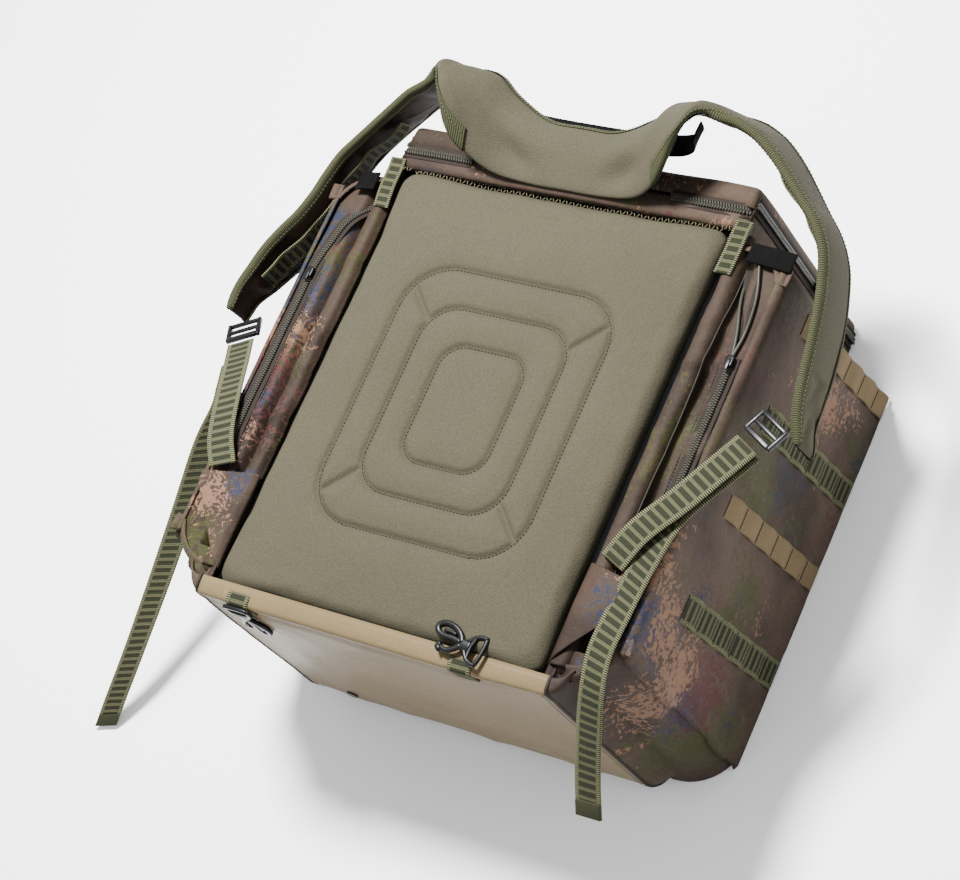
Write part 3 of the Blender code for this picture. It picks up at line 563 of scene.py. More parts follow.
def piece(name, bm, finishes, body="bag", stands_for=(), outwards=True):
    """Turns a bmesh into a finished object that rides on a body."""
    if outwards:
        bmesh.ops.recalc_face_normals(bm, faces=bm.faces)
    for face in bm.faces:
        face.smooth = True
    mesh = bpy.data.meshes.new(name)
    bm.to_mesh(mesh)
    bm.free()
    made = bpy.data.objects.new(name, mesh)
    bpy.context.collection.objects.link(made)
    for finish in finishes:
        mesh.materials.append(bpy.data.materials[FINISH_PREFIX + finish])
    if body:
        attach(made, body)
    if stands_for:
        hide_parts(*stands_for)
    return made


def thicken(made, thickness, offset=0.0):
    wall = made.modifiers.new("thickness", "SOLIDIFY")
    wall.thickness = thickness
    wall.offset = offset
    wall.use_even_offset = False


def soften(made, levels=1):
    rounding = made.modifiers.new("rounding", "SUBSURF")
    rounding.levels = levels
    rounding.render_levels = levels


def settle(made):
    """Applies every modifier of a piece to its mesh."""
    depsgraph = bpy.context.evaluated_depsgraph_get()
    mesh = bpy.data.meshes.new_from_object(made.evaluated_get(depsgraph))
    made.modifiers.clear()
    made.data = mesh
    for face in mesh.polygons:
        face.use_smooth = True


def ribbon(name, route, across, width, finish, body="bag", ribbed=True, stands_for=(), thickness=WEB_THICKNESS,
           sag=None):
    """Flat webbing along a route. across is its width direction at evenly spaced knots."""
    at, length = smooth_route(route)

    def place(u, v):
        side = knot_blend(across, v).normalized()
        way = along_route(at, v)
        up = side.cross(way).normalized()
        share = v * length / RIB_PITCH % 1.0
        inner = abs(u - 0.5) < 0.34
        lift = RIB_HEIGHT if ribbed and inner and abs(share - 0.5) > 0.28 else 0.0
        cupping = 0.0006 * (2 * u - 1) ** 2
        if sag:
            lift += sag(u, v)
        return at(v) + side * (u - 0.5) * width + up * (lift + cupping)

    rows = max(int(length / RIB_PITCH * 4), 8)
    bm = laid_grid(place, 10, rows, (0.030, length))
    made = piece(name, bm, [finish], body, stands_for, outwards=False)
    thicken(made, thickness)
    return made


def stitches(name, points, normals, finish, pitch=0.0042, width=0.0007, body="bag"):
    """Short thread bars along a line, as one piece."""
    at, length = smooth_route(points)
    bm = bmesh.new()
    count = max(int(length / pitch), 2)
    for i in range(count):
        share = (i + 0.5) / count
        way = along_route(at, share)
        up = knot_blend(normals, share).normalized()
        side = up.cross(way).normalized()
        up = way.cross(side)
        turn = Matrix((way, side, up)).transposed().to_4x4()
        made = bmesh.ops.create_cube(bm, size=1.0)["verts"]
        bmesh.ops.scale(bm, vec=(pitch * 0.62, width, width * 0.8), verts=made)
        bmesh.ops.transform(bm, matrix=Matrix.Translation(at(share)) @ turn, verts=made)
    return piece(name, bm, [finish], body)


def tube(name, points, radius, finish, body="bag", sides=8, steps=60, stands_for=()):
    """Round cord or piping along a route, closed at both ends."""
    at, length = smooth_route(points)

    def place(u, v):
        way = along_route(at, v)
        side = way.orthogonal().normalized()
        if abs(way.z) < 0.9:
            side = way.cross(Vector((0, 0, 1))).normalized()
        up = side.cross(way)
        angle = 2 * math.pi * u
        return at(v) + (side * math.cos(angle) + up * math.sin(angle)) * radius

    bm = laid_grid(place, sides, steps, (2 * math.pi * radius, length))
    bmesh.ops.remove_doubles(bm, verts=bm.verts, dist=1e-6)
    bmesh.ops.holes_fill(bm, edges=bm.edges, sides=sides + 1)
    return piece(name, bm, [finish], body, stands_for)


# ---- back pad -----------------------------------------------------------------------------
def rounded_box_gap(x, y, half_x, half_y, corner):
    """Signed distance in the plane to a rounded rectangle's outline."""
    over_x = abs(x) - half_x + corner
    over_y = abs(y) - half_y + corner
    outside = math.hypot(max(over_x, 0.0), max(over_y, 0.0))
    return outside + min(max(over_x, over_y), 0.0) - corner


QUILT_MIDDLE_Y = -0.005
QUILT_PANELS = ((0.050, 0.064, 0.026), (0.086, 0.102, 0.038), (0.124, 0.142, 0.052))


def quilt_gap(x, y):
    """Distance to the nearest pressed seam of the plain nested panels."""
    y -= QUILT_MIDDLE_Y
    gaps = [abs(rounded_box_gap(x, y, *panel)) for panel in QUILT_PANELS]
    between = rounded_box_gap(x, y, *QUILT_PANELS[1]) > 0 > rounded_box_gap(x, y, *QUILT_PANELS[2])
    if between:
        for slope in (1, -1):
            gaps.append(abs(x * 0.62 - slope * y * 0.62) / 0.877)
    return min(gaps)


SIDE_GIVE = 0.2              # share of its sideways move that a swelling pad keeps


def puff(made, pressure, cap, frames):
    """Swells a closed mesh with a cloth simulation, and limits how far each point may move."""
    grain = made.modifiers.new("remesh", "REMESH")
    grain.mode = "VOXEL"
    grain.voxel_size = 0.006
    settle(made)
    start = [vert.co.copy() for vert in made.data.vertices]
    cloth = made.modifiers.new("cloth", "CLOTH")
    cloth.settings.use_pressure = True
    cloth.settings.uniform_pressure_force = pressure
    cloth.settings.effector_weights.gravity = 0.0
    cloth.point_cache.frame_start = 1
    cloth.point_cache.frame_end = frames
    for step in range(1, frames + 1):
        bpy.context.scene.frame_set(step)
    settle(made)
    bpy.context.scene.frame_set(1)
    for vert, before in zip(made.data.vertices, start):
        move = vert.co - before
        move.x *= SIDE_GIVE
        move.y *= SIDE_GIVE
        if move.length > cap:
            move = move.normalized() * cap
        vert.co = before + move
    return start


def back_cushion():
    low = PAD_LOW + Vector((0.0012, 0.0012, 0.001))
    high = PAD_HIGH - Vector((0.0012, 0.0008, 0.0030))
    bm = box_bmesh(low, high)
    upright = [e for e in bm.edges if abs(e.verts[0].co.z - e.verts[1].co.z) > 0.01]
    round_edges(bm, upright, 0.020, 5)
    rim = [e for e in bm.edges if all(abs(v.co.z - high.z) < 1e-5 for v in e.verts)]
    round_edges(bm, rim, 0.0065, 3)
    made = piece("back_cushion", bm, ["knit"], "bag", ["back_pad"])
    puff(made, 4.0, sizes().pad_crown, sizes().cloth_frames)
    soften(made, 1)
    settle(made)
    fine = bmesh.new()
    fine.from_mesh(made.data)
    near = [e for e in fine.edges if e.verts[0].co.z > high.z - 0.006
            and quilt_gap(e.verts[0].co.x, e.verts[0].co.y) < 0.007]
    bmesh.ops.subdivide_edges(fine, edges=near, cuts=1, use_grid_fill=True)
    bmesh.ops.triangulate(fine, faces=[f for f in fine.faces if len(f.verts) > 4])
    half_x, half_y = (high.x - low.x) / 2, (high.y - low.y) / 2
    for vert in fine.verts:
        if vert.co.z < high.z - 0.006:
            continue
        x, y = vert.co.x, vert.co.y
        edge = min(half_x - abs(x), half_y - abs(y))
        crown = 0.0050 * ease(edge, 0.0, 0.07)
        seam = 0.65 * sizes().seam_depth * math.exp(-(quilt_gap(x, y) / 0.0034) ** 2)
        seam += 0.45 * sizes().seam_depth * math.exp(-(quilt_gap(x, y) / 0.013) ** 2)
        sway = 0.0011 * ripple((x, y, 0), 9.0, seed=4.0)
        bottom = 0.0040 * ease(-y, 0.12, 0.24) * ease(-x, -0.05, 0.16)
        vert.co.z += crown - seam + sway - bottom * 0.4
        if edge < 0.03:
            vert.co.z += 0.0008 * ripple((x, y, 0), 34.0, seed=9.0)
    for face in fine.faces:
        face.smooth = True
    fine.to_mesh(made.data)
    fine.free()
    return made


def top_height(made, x, y):
    """Height of a piece's upper face at a place."""
    hit, spot, _, _ = made.ray_cast(Vector((x, y, 0.5)), Vector((0, 0, -1)))
    return spot.z if hit else PAD_HIGH.z


def quilt_thread(cushion):
    for number, (half_x, half_y, corner) in enumerate(QUILT_PANELS):
        outline = []
        for turn in range(4):
            sign_x, sign_y = ((1, 1), (-1, 1), (-1, -1), (1, -1))[turn]
            for step in range(7):
                angle = math.pi / 2 * (turn + step / 6)
                outline.append((sign_x * (half_x - corner) + corner * math.cos(angle),
                                sign_y * (half_y - corner) + corner * math.sin(angle) + QUILT_MIDDLE_Y))
        outline.append(outline[0])
        points = [(x, y, top_height(cushion, x, y) + 0.0002) for x, y in outline]
        dense = []
        for a, b in zip(outline, outline[1:]):
            for part in range(4):
                x, y = a[0] + (b[0] - a[0]) * part / 4, a[1] + (b[1] - a[1]) * part / 4
                dense.append((x, y, top_height(cushion, x, y) + 0.0002))
        dense.append(points[-1])
        stitches(f"quilt_thread_{number}", dense, [(0, 0, 1), (0, 0, 1)], "dark_thread",
                 0.0040, 0.0008)


def pad_edge_thread(cushion):
    """Overlocked top edge where the pad is sewn to the collar."""
    bm = bmesh.new()
    count = int((PAD_HIGH.x - PAD_LOW.x) / 0.0040)
    y = PAD_HIGH.y - 0.0035
    for i in range(count):
        x = PAD_LOW.x + (i + 0.5) * 0.0040
        lean = 0.5 if i % 2 else -0.5
        made = bmesh.ops.create_cube(bm, size=1.0)["verts"]
        bmesh.ops.scale(bm, vec=(0.0008, 0.0040, 0.0007), verts=made)
        bmesh.ops.rotate(bm, cent=(0, 0, 0), matrix=Matrix.Rotation(lean, 3, "Z"), verts=made)
        z = top_height(cushion, x, y - 0.003) + 0.0003
        bmesh.ops.translate(bm, vec=(x, y - 0.001, z), verts=made)
    piece("pad_edge_thread", bm, ["pale_thread"], "bag")


# ---- base, collar and lid -----------------------------------------------------------------
def base_profile(share):
    """Outside of the base from its rolled rear edge round to the front face, as (y, z, out y, out z)."""
    rear = PAD_HIGH.z - 0.008
    straight = rear - BASE_CORNER
    arc = math.pi / 2 * BASE_CORNER
    total = BASE_TURN + straight + arc + BASE_LIP
    reach = share * total - BASE_TURN
    y0 = BASE_LOW.y
    if reach < 0:
        angle = math.pi / 2 * (1 + reach / BASE_TURN)
        return (y0 + BASE_TURN * (1 - math.sin(angle)), rear + 0.0050 * math.cos(angle),
                -math.sin(angle), math.cos(angle))
    if reach < straight:
        return y0, rear - reach, -1.0, 0.0
    if reach < straight + arc:
        angle = (reach - straight) / BASE_CORNER
        return (y0 + BASE_CORNER * (1 - math.cos(angle)), BASE_CORNER * (1 - math.sin(angle)),
                -math.cos(angle), -math.sin(angle))
    return y0 + BASE_CORNER + reach - straight - arc, 0.0, 0.0, -1.0


def base_shell():
    def place(u, v):
        x = BASE_LOW.x + (BASE_HIGH.x - BASE_LOW.x) * u
        y, z, out_y, out_z = base_profile(max(v, 0.0))
        spot = (x, y, z)
        middle = ease(u, 0.0, 0.18) * (1 - ease(u, 0.82, 1.0))
        free = ease(v, 0.04, 0.14) * (1 - ease(v, 0.80, 0.97))
        swell = 0.0035 * middle * math.sin(math.pi * min(v / 0.85, 1.0))
        folds = 0.0018 * ripple(spot, 7.0, (1.0, 1.0, 2.2), 2.0) + 0.0016 * crease(spot, 5.0, (1.6, 1, 2.6), 5.0)
        roll = 0.0022 * math.exp(-((v - 0.045) / 0.020) ** 2)
        dent = -0.0024 * math.exp(-((v - 0.090) / 0.016) ** 2)
        out = (swell + folds * free) * (0.3 + 0.7 * middle) + (roll + dent) * (0.4 + 0.6 * middle)
        out = max(out, -0.0015) if v > 0.8 else out
        floor_free = max(z + out_z * out, 0.0002)
        return Vector((x, y + out_y * out, floor_free))

    bm = laid_grid(place, 90, 90, (0.415, 0.35))
    made = piece("base_shell", bm, ["coated"], "bag", ["base_cover"], outwards=False)
    thicken(made, FABRIC, 1.0)
    for side in (-1, 1):
        edge = []
        for i in range(30):
            spot = place(1.0 if side > 0 else 0.0, i / 29 * 0.97)
            edge.append(spot + Vector((side * 0.0006, 0.0008, 0.001)))
        tube(f"base_edge_{'right' if side > 0 else 'left'}", edge, 0.0017, "piping", steps=90)
        inner = []
        for i in range(30):
            u = 1.0 - 0.012 if side > 0 else 0.012
            inner.append(place(u, 0.05 + i / 29 * 0.88) + Vector((0, -0.0009, -0.0003)))
        stitches(f"base_thread_{'right' if side > 0 else 'left'}", inner, [(0, -1, 0), (0, -1, 0)],
                 "pale_thread", 0.0040, 0.0006)


def base_ends():
    """Printed cloth from the base's ends round to the side pockets."""
    for side in (-1, 1):
        word = "right" if side > 0 else "left"

        def place(u, v):
            y, z, _, _ = base_profile(0.005 + 0.97 * v)
            near = Vector((side * (BASE_HIGH.x - 0.0008), y + 0.0016, max(z, 0.001)))
            deep = ease(z, 0.0, BASE_CORNER)
            far = Vector((side * (BASE_HIGH.x + 0.020), POCKET_LOW.y + 0.0035 + 0.012 * (1 - deep), max(z, 0.0012)))
            out = 0.0045 * math.sin(math.pi * u) * deep
            folds = 0.0020 * ripple(near.lerp(far, u), 20.0, (1.0, 1.0, 1.6), side * 2.0) * math.sin(math.pi * u)
            return near.lerp(far, u) + Vector((side * 0.4, -1.0, 0.0)) * (out + folds)

        bm = laid_grid(place, 14, 90, (0.03, 0.34))
        made = piece(f"{word}_base_end", bm, ["camo"], "bag", outwards=False)
        thicken(made, FABRIC)

        def tuck(u, v):
            spot = Vector((side * (PAD_HIGH.x + 0.0015 + 0.036 * u), BASE_LOW.y + 0.0035 + 0.044 * v, 0.0))
            spot.y += 0.020 * u * (1 - v)
            sink = 0.006 * math.exp(-((u - 0.35) / 0.16) ** 2) + 0.004 * (1 - ease(v, 0.0, 0.2))
            folds = 0.0016 * crease(spot, 26.0, (1.0, 0.7, 1.0), side * 5.0)
            spot.z = POCKET_Z - 0.0005 - sink + folds
            return spot

        bm = laid_grid(tuck, 24, 24, (0.036, 0.044))
        made = piece(f"{word}_corner_pleat", bm, ["camo_satin"], "bag", outwards=False)
        thicken(made, FABRIC)


def wall_cloth(name, place, size, stands_for, flip):
    bm = laid_grid(place, 60, 40, size)
    made = piece(name, bm, ["camo"], "bag", stands_for, outwards=False)
    thicken(made, 0.0018, flip)


def body_walls():
    """Printed cloth of the main compartment's sides and front, and of the side pockets' fronts."""
    for side in (-1, 1):
        word = "right" if side > 0 else "left"

        def flank(u, v):
            z = 0.0008 + (POCKET_Z - 0.001) * v
            low_y = BASE_LOW.y + 0.003
            if z < BASE_CORNER:
                low_y += BASE_CORNER - math.sqrt(BASE_CORNER ** 2 - (BASE_CORNER - z) ** 2)
            y = low_y + (LID_LOW.y - 0.0010 - low_y) * u
            slack = 0.0010 * crease((0, y, z), 9.0, seed=side * 2.0)
            return Vector((side * (BODY_X - 0.0004 - slack), y, z))

        wall_cloth(f"{word}_flank", flank, (0.50, 0.28), [f"{word}_side_panel", f"{word}_rim_panel"], -side)

        def pocket_front(u, v):
            y = POCKET_LOW.y + 0.001 + (POCKET_HIGH.y - POCKET_LOW.y - 0.002) * u
            x = BODY_X + 0.0006 + (pocket_reach(y) - BODY_X - 0.0012) * v
            return Vector((side * x, y, 0.0022))

        wall_cloth(f"{word}_pocket_face", pocket_front, (0.45, 0.06), [f"{word}_pocket_front"], -side)

    def front(u, v):
        x = (BODY_X - 0.001) * (2 * u - 1)
        y = BASE_LOW.y + BASE_CORNER + BASE_LIP + 0.001 + 0.441 * v
        hollow = 0.0040 * math.sin(math.pi * u) * math.sin(math.pi * v)
        return Vector((x, y, 0.0020 + hollow + 0.0008 * ripple((x, y, 0), 9.0)))

    wall_cloth("front_cloth", front, (0.41, 0.44),
               ["front_panel", "front_rim_panel", "front_pocket_panel", "front_pocket_gusset"], -1.0)


def collar():
    """Printed band above the pad, with a seam fold at each end."""
    low, high = COLLAR_LOW, COLLAR_HIGH

    def place(u, v):
        x = low.x + (high.x - low.x) * u
        y = low.y - 0.003 + (high.y - low.y + 0.003) * v
        puffed = 0.0030 * math.sin(math.pi * v) ** 0.7
        folds = 0.0012 * ripple((x, y, 0), 26.0, (1.0, 0.5, 1.0), 3.0)
        drop = 0.010 * (1 - ease(min(u, 1 - u), 0.0, 0.035))
        tuck = 0.0050 * math.exp(-(v / 0.10) ** 2)
        return Vector((x, y, high.z - 0.0025 + puffed + folds - drop * 0.4 - tuck))

    bm = laid_grid(place, 120, 8, (0.415, 0.021))
    made = piece("collar_band", bm, ["camo"], "bag", ["back_collar"], outwards=False)
    thicken(made, FABRIC, -1.0)


def zip_chain(name, points, normal, body="bag", width=0.0062, pitch=0.0026, tape=0.018):
    """Closed coil zip: two rows of teeth on two tapes along a line."""
    at, length = smooth_route(points)
    up = Vector(normal).normalized()
    bm = bmesh.new()
    count = int(length / pitch)
    for i in range(count):
        for row in (-1, 1):
            share = (i + (0.25 if row > 0 else 0.75)) / count
            way = along_route(at, share)
            side = up.cross(way).normalized()
            turn = Matrix((way, side, up)).transposed().to_4x4()
            tooth = bmesh.ops.create_cube(bm, size=1.0)["verts"]
            bmesh.ops.scale(bm, vec=(pitch * 0.62, width * 0.56, 0.0019), verts=tooth)
            bmesh.ops.rotate(bm, cent=(0, 0, 0), matrix=Matrix.Rotation(row * 0.35, 3, "Z"), verts=tooth)
            place = Matrix.Translation(at(share) + side * row * width * 0.24 + up * 0.0006) @ turn
            bmesh.ops.transform(bm, matrix=place, verts=tooth)
    chain = piece(f"{name}_teeth", bm, ["zip_coil"], body)
    if tape:
        def place(u, v):
            way = along_route(at, v)
            side = up.cross(way).normalized()
            lift = 0.0004 * math.cos(4 * math.pi * (u - 0.5))
            return at(v) + side * (u - 0.5) * tape + up * (lift - 0.0012)

        bm = laid_grid(place, 8, max(int(length / 0.004), 6), (tape, length))
        under = piece(f"{name}_tape", bm, ["zip_tape"], body, outwards=False)
        thicken(under, 0.0008)
    return chain


def zip_puller(bm, centre, way, up, length=0.012, width=0.0085):
    """Slider body with a short pull tab, added to a bmesh."""
    side = up.cross(way).normalized()
    turn = Matrix((way, side, up)).transposed().to_4x4()
    body = box_bmesh((-length / 2, -width / 2, 0.0), (length / 2, width / 2, 0.0034))
    tall = [e for e in body.edges if abs(e.verts[0].co.z - e.verts[1].co.z) > 0.001]
    round_edges(body, tall, 0.0026, 3)
    round_edges(body, [e for e in body.edges if all(v.co.z > 0.003 for v in e.verts)], 0.0009, 2)
    bmesh.ops.transform(body, matrix=Matrix.Translation(centre) @ turn, verts=body.verts)
    join_bmesh(bm, body)
    tab = box_bmesh((-0.002, -0.0022, 0.0036), (0.010, 0.0022, 0.0048))
    round_edges(tab, list(tab.edges), 0.0005, 2)
    bmesh.ops.transform(tab, matrix=Matrix.Translation(centre) @ turn, verts=tab.verts)
    join_bmesh(bm, tab)


def lid_shell():
    """Shallow hollow tray with rounded, slightly slack sides."""
    bm = box_bmesh(LID_LOW, LID_HIGH)
    mouth = [f for f in bm.faces if f.normal.y < -0.9]
    bmesh.ops.delete(bm, geom=mouth, context="FACES")
    picked = [e for e in bm.edges if not e.is_boundary]
    bmesh.ops.bevel(bm, geom=picked, offset=0.008, segments=3, affect="EDGES", profile=0.5, material=-1)
    bmesh.ops.subdivide_edges(
        bm, edges=[e for e in bm.edges if e.calc_length() > 0.02], cuts=24, use_grid_fill=True)
    bmesh.ops.recalc_face_normals(bm, faces=bm.faces)
    bm.normal_update()
    moves = {}
    for vert in bm.verts:
        free = ease(vert.co.y, LID_LOW.y + 0.002, LID_LOW.y + 0.012)
        slack = 0.0022 * ripple(vert.co, 10.0, seed=6.0) - 0.0018 * crease(vert.co, 7.0, (1.0, 1.0, 1.5), 8.0)
        slack -= 0.0012
        moves[vert] = vert.normal * slack * free
    for vert, move in moves.items():
        vert.co += move
        vert.co.z = max(vert.co.z, 0.0002)
    made = piece("lid_shell", bm, ["camo"], "lid", ["lid"], outwards=False)
    thicken(made, FABRIC, -1.0)
    for side in (-1, 1):
        word = "right" if side > 0 else "left"
        x = side * (BODY_X + 0.0012)
        y = LID_LOW.y + 0.0045
        points = [(x, y, 0.004), (x, y, LID_HIGH.z * 0.5), (x, y, LID_HIGH.z - 0.006)]
        chain = zip_chain(f"lid_zip_{word}", points, (side, 0, 0), "lid")
        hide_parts(f"lid_zip_{word}")
        low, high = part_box(f"lid_slider_{word}")
        bm = bmesh.new()
        centre = Vector((side * (BODY_X + 0.0026), y, (low.z + high.z) / 2))
        zip_puller(bm, centre, Vector((0, 0, 1)), Vector((side, 0, 0)))
        piece(f"lid_puller_{word}", bm, ["black_plastic"], f"{word}_lid_slider",
              [f"lid_slider_{word}"])
    for side in (-1, 1):
        word = "right" if side > 0 else "left"
        edge = COLLAR_HIGH.y - 0.004
        inner, outer = 0.118, BODY_X - 0.002
        points = [(side * inner, edge, COLLAR_HIGH.z + 0.0012), (side * (inner + outer) / 2, edge, COLLAR_HIGH.z + 0.0016),
                  (side * (outer - 0.008), edge, COLLAR_HIGH.z + 0.0006), (side * outer, edge + 0.002, COLLAR_HIGH.z - 0.004)]
        zip_chain(f"collar_zip_{word}", points, (0, 0, 1), "bag", width=0.0080, pitch=0.0030, tape=0.016)


# ---- side pockets -------------------------------------------------------------------------
def pocket_reach(y):
    """Outer x of a side pocket at a place along it."""
    top, bottom = POCKET_CORNERS
    upper, lower = POCKET_HIGH.y - top, POCKET_LOW.y + bottom
    if y > upper:
        return POCKET_X - top + math.sqrt(max(top ** 2 - (y - upper) ** 2, 0.0))
    if y < lower:
        return POCKET_X - bottom + math.sqrt(max(bottom ** 2 - (lower - y) ** 2, 0.0))
    return POCKET_X


def pocket_outline():
    """Route round a right side pocket in plan, from the bag's side at the top to its bottom."""
    top, bottom = POCKET_CORNERS
    points = [(BODY_X, POCKET_HIGH.y)]
    for centre, radius, start in (((POCKET_X - top, POCKET_HIGH.y - top), top, 90.0),
                                  ((POCKET_X - bottom, POCKET_LOW.y + bottom), bottom, 0.0)):
        for step in range(7):
            angle = math.radians(start - step * 15.0)
            points.append((centre[0] + radius * math.cos(angle), centre[1] + radius * math.sin(angle)))
    points.append((BODY_X, POCKET_LOW.y))
    return [(x, y, 0.0) for x, y in points]


def strip_cover(y, z):
    """1 where a webbing loop lies on the pocket's wall, 0 away from them."""
    shear = math.tan(STRIP_TILT) * (STRIP_HIGH.z - z)
    cover = 0.0
    for edge in STRIP_EDGE_Y:
        middle = edge - 0.014 + shear
        cover = max(cover, 1 - ease(abs(y - middle), 0.014, 0.032))
    return cover


def pocket_relief(side, x, y):
    """Height of a pocket's top, with its gusset fold beside the pad."""
    reach = abs(x) - PAD_HIGH.x
    fold_x = 0.0275
    swing = 0.002 * ripple((x, y, 0), 12.0, seed=side * 3.0)
    ridge = 0.0035 * math.exp(-((reach - 0.013) / 0.010) ** 2)
    valley = -0.0140 * math.exp(-((reach - fold_x - swing) / 0.0048) ** 2)
    folds = 0.0016 * ripple((x, y, 0), 22.0, (0.6, 1.5, 1.0), side * 5.0)
    pulled = 0.0022 * crease((x, y, 0), 15.0, (0.5, 1.3, 1.0), side * 7.0) * (1 - ease(abs(x), 0.236, 0.246))
    settled = -0.004 * ease(y, 0.10, 0.20) * ease(abs(x), 0.205, 0.225)
    return ridge + valley + folds + pulled + settled


def side_pocket(side):
    word = "right" if side > 0 else "left"
    at, length = smooth_route(pocket_outline())

    def wall(u, v):
        spot = at(u)
        way = along_route(at, u)
        out = Vector((-way.y, way.x, 0.0))
        roll = POCKET_EDGE
        top = POCKET_Z
        reach = v * (top + (math.pi / 2 - 1) * roll)
        inward, z = 0.0, reach
        if reach > top - roll:
            angle = (reach - top + roll) / roll
            inward, z = roll * (1 - math.cos(angle)), top - roll + roll * math.sin(angle)
        place = (side * spot.x, spot.y, z)
        free = ease(z, 0.0, 0.03) * (1 - ease(z, top - 0.03, top))
        cover = strip_cover(spot.y, z) if 0.15 < u < 0.85 else 0.0
        amount = sizes().wrinkle
        folds = amount * ripple(place, 9.0, (1.0, 1.0, 0.7), side * 2.0)
        folds += amount * 0.9 * (crease(place, 6.5, (1.0, 1.5, 0.8), side * 4.0) - 0.2)
        low_end = ease(-spot.y, 0.11, 0.20)
        folds += low_end * amount * 1.6 * (crease(place, 11.0, (1.0, 1.8, 0.6), side * 6.0) - 0.3)
        depth = folds * free
        if cover > 0:
            depth = min(depth, 0.0002 * cover + depth * (1 - cover))
            depth = depth * (1 - cover) - 0.0004 * cover
        spot = Vector((spot.x, spot.y, z)) + out * (depth - inward)
        spot.z = max(z, 0.0004)
        return Vector((side * spot.x, spot.y, spot.z))

    bm = laid_grid(wall, 190, 70, (length, POCKET_Z))
    made = piece(f"{word}_pocket_wall", bm, ["camo"], "bag",
                 [f"{word}_pocket_band"], outwards=False)
    thicken(made, FABRIC, -1.0 if side > 0 else 1.0)

    inner_x = PAD_HIGH.x + 0.0012
    low_y, high_y = POCKET_LOW.y + 0.003, POCKET_HIGH.y + 0.010

    def top_at(x, y):
        return POCKET_Z + pocket_relief(side, x, y)

    def cover(u, v):
        y = low_y + (high_y - low_y) * v
        outer_x = max(pocket_reach(min(y, POCKET_HIGH.y)) - POCKET_EDGE + 0.002, inner_x + 0.012)
        x = inner_x + (outer_x - inner_x) * u
        tuck = -0.007 * math.exp(-(u / 0.05) ** 2)
        seam = -0.0015 * math.exp(-((u - 1) / 0.06) ** 2)
        return Vector((side * x, y, top_at(side * x, y) + tuck + seam))

    bm = laid_grid(cover, 44, 190, (0.065, 0.45))
    made = piece(f"{word}_pocket_top", bm, ["camo_satin"], "bag",
                 [f"{word}_pocket_back"], outwards=False)
    thicken(made, FABRIC * 0.7, -1.0 if side > 0 else 1.0)

    route = []
    for i in range(40):
        spot = at(0.03 + 0.94 * i / 39)
        way = along_route(at, 0.03 + 0.94 * i / 39)
        out = Vector((way.y, -way.x, 0.0))
        if out.x < 0 and 2 < i < 37:
            out = -out
        inset = 0.0042
        route.append((side * (spot.x - abs(out.x) * inset), spot.y - (inset if spot.y > 0 else -inset) * abs(out.y),
                      POCKET_Z - 0.0004))
    tube(f"{word}_pocket_piping", route, 0.0015, "piping", steps=160)

    fold = []
    for i in range(30):
        y = -0.215 + 0.42 * i / 29
        x = PAD_HIGH.x + 0.0235
        fold.append((side * x, y, top_at(side * x, y) + 0.0006))
    tube(f"{word}_gusset_piping", fold, 0.0009, "piping", steps=110)

    zip_points = [(side * POCKET_ZIP_X, y, top_at(side * POCKET_ZIP_X, y) + 0.0016)
                  for y in (POCKET_ZIP_LOW_Y, -0.08, -0.04, 0.0, 0.04, 0.08, POCKET_ZIP_BEND_Y)]
    if side < 0:
        bend = [(-0.2455, 0.140), (-0.236, 0.172), (-0.224, 0.200)]
        zip_points += [(x, y, top_at(x, y) + 0.0016) for x, y in bend]
    chain = zip_chain(f"{word}_pocket_zip", zip_points, (0, 0, 1), tape=0.017)
    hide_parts(f"{word}_pocket_zip")
    if side > 0:
        open_zip(top_at)
    low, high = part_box(f"{word}_pocket_slider")
    bm = bmesh.new()
    centre = Vector(((low.x + high.x) / 2, (low.y + high.y) / 2,
                     top_at((low.x + high.x) / 2, (low.y + high.y) / 2) + 0.0030))
    zip_puller(bm, centre, Vector((0, -1, 0)), Vector((0, 0, 1)))
    piece(f"{word}_pocket_puller", bm, ["black_plastic"], f"{word}_side_slider",
          [f"{word}_pocket_slider"])
    for offset in (-0.011, 0.011):
        line = [(side * (POCKET_ZIP_X + offset), y, top_at(side * (POCKET_ZIP_X + offset), y) + 0.0005)
                for y in (-0.12, -0.08, -0.04, 0.0, 0.04, 0.08, 0.108)]
        stitches(f"{word}_zip_thread_{'in' if offset < 0 else 'out'}", line, [(0, 0, 1), (0, 0, 1)],
                 "dark_thread", 0.0036, 0.0006)


def open_zip(top_at):
    """The right pocket's zip stands open above its slider: two separate rows of teeth."""
    start = (POCKET_ZIP_X, POCKET_ZIP_BEND_Y)
    for word, ends in (("inner", ((0.244, 0.135), (0.232, 0.170), (0.222, 0.205))),
                       ("outer", ((0.252, 0.138), (0.246, 0.176), (0.236, 0.208)))):
        flat = [start, *ends]
        points = [(x, y, top_at(x, y) + 0.0030) for x, y in flat]
        tube(f"open_zip_{word}", points, 0.0017, "zip_coil", sides=6, steps=60)
    dark = [(0.249, 0.118), (0.247, 0.140), (0.238, 0.172), (0.229, 0.204)]
    at, length = smooth_route([(x, y, top_at(x, y) + 0.0012) for x, y in dark])

    def place(u, v):
        width = 0.001 + 0.014 * ease(v, 0.0, 0.8)
        way = along_route(at, v)
        side = Vector((0, 0, 1)).cross(way).normalized()
        return at(v) + side * (u - 0.5) * width - Vector((0, 0, 0.0022 * math.sin(math.pi * u)))

    bm = laid_grid(place, 6, 24, (0.012, length))
    made = piece("open_zip_gap", bm, ["zip_tape"], "bag", outwards=False)
    thicken(made, 0.0008)


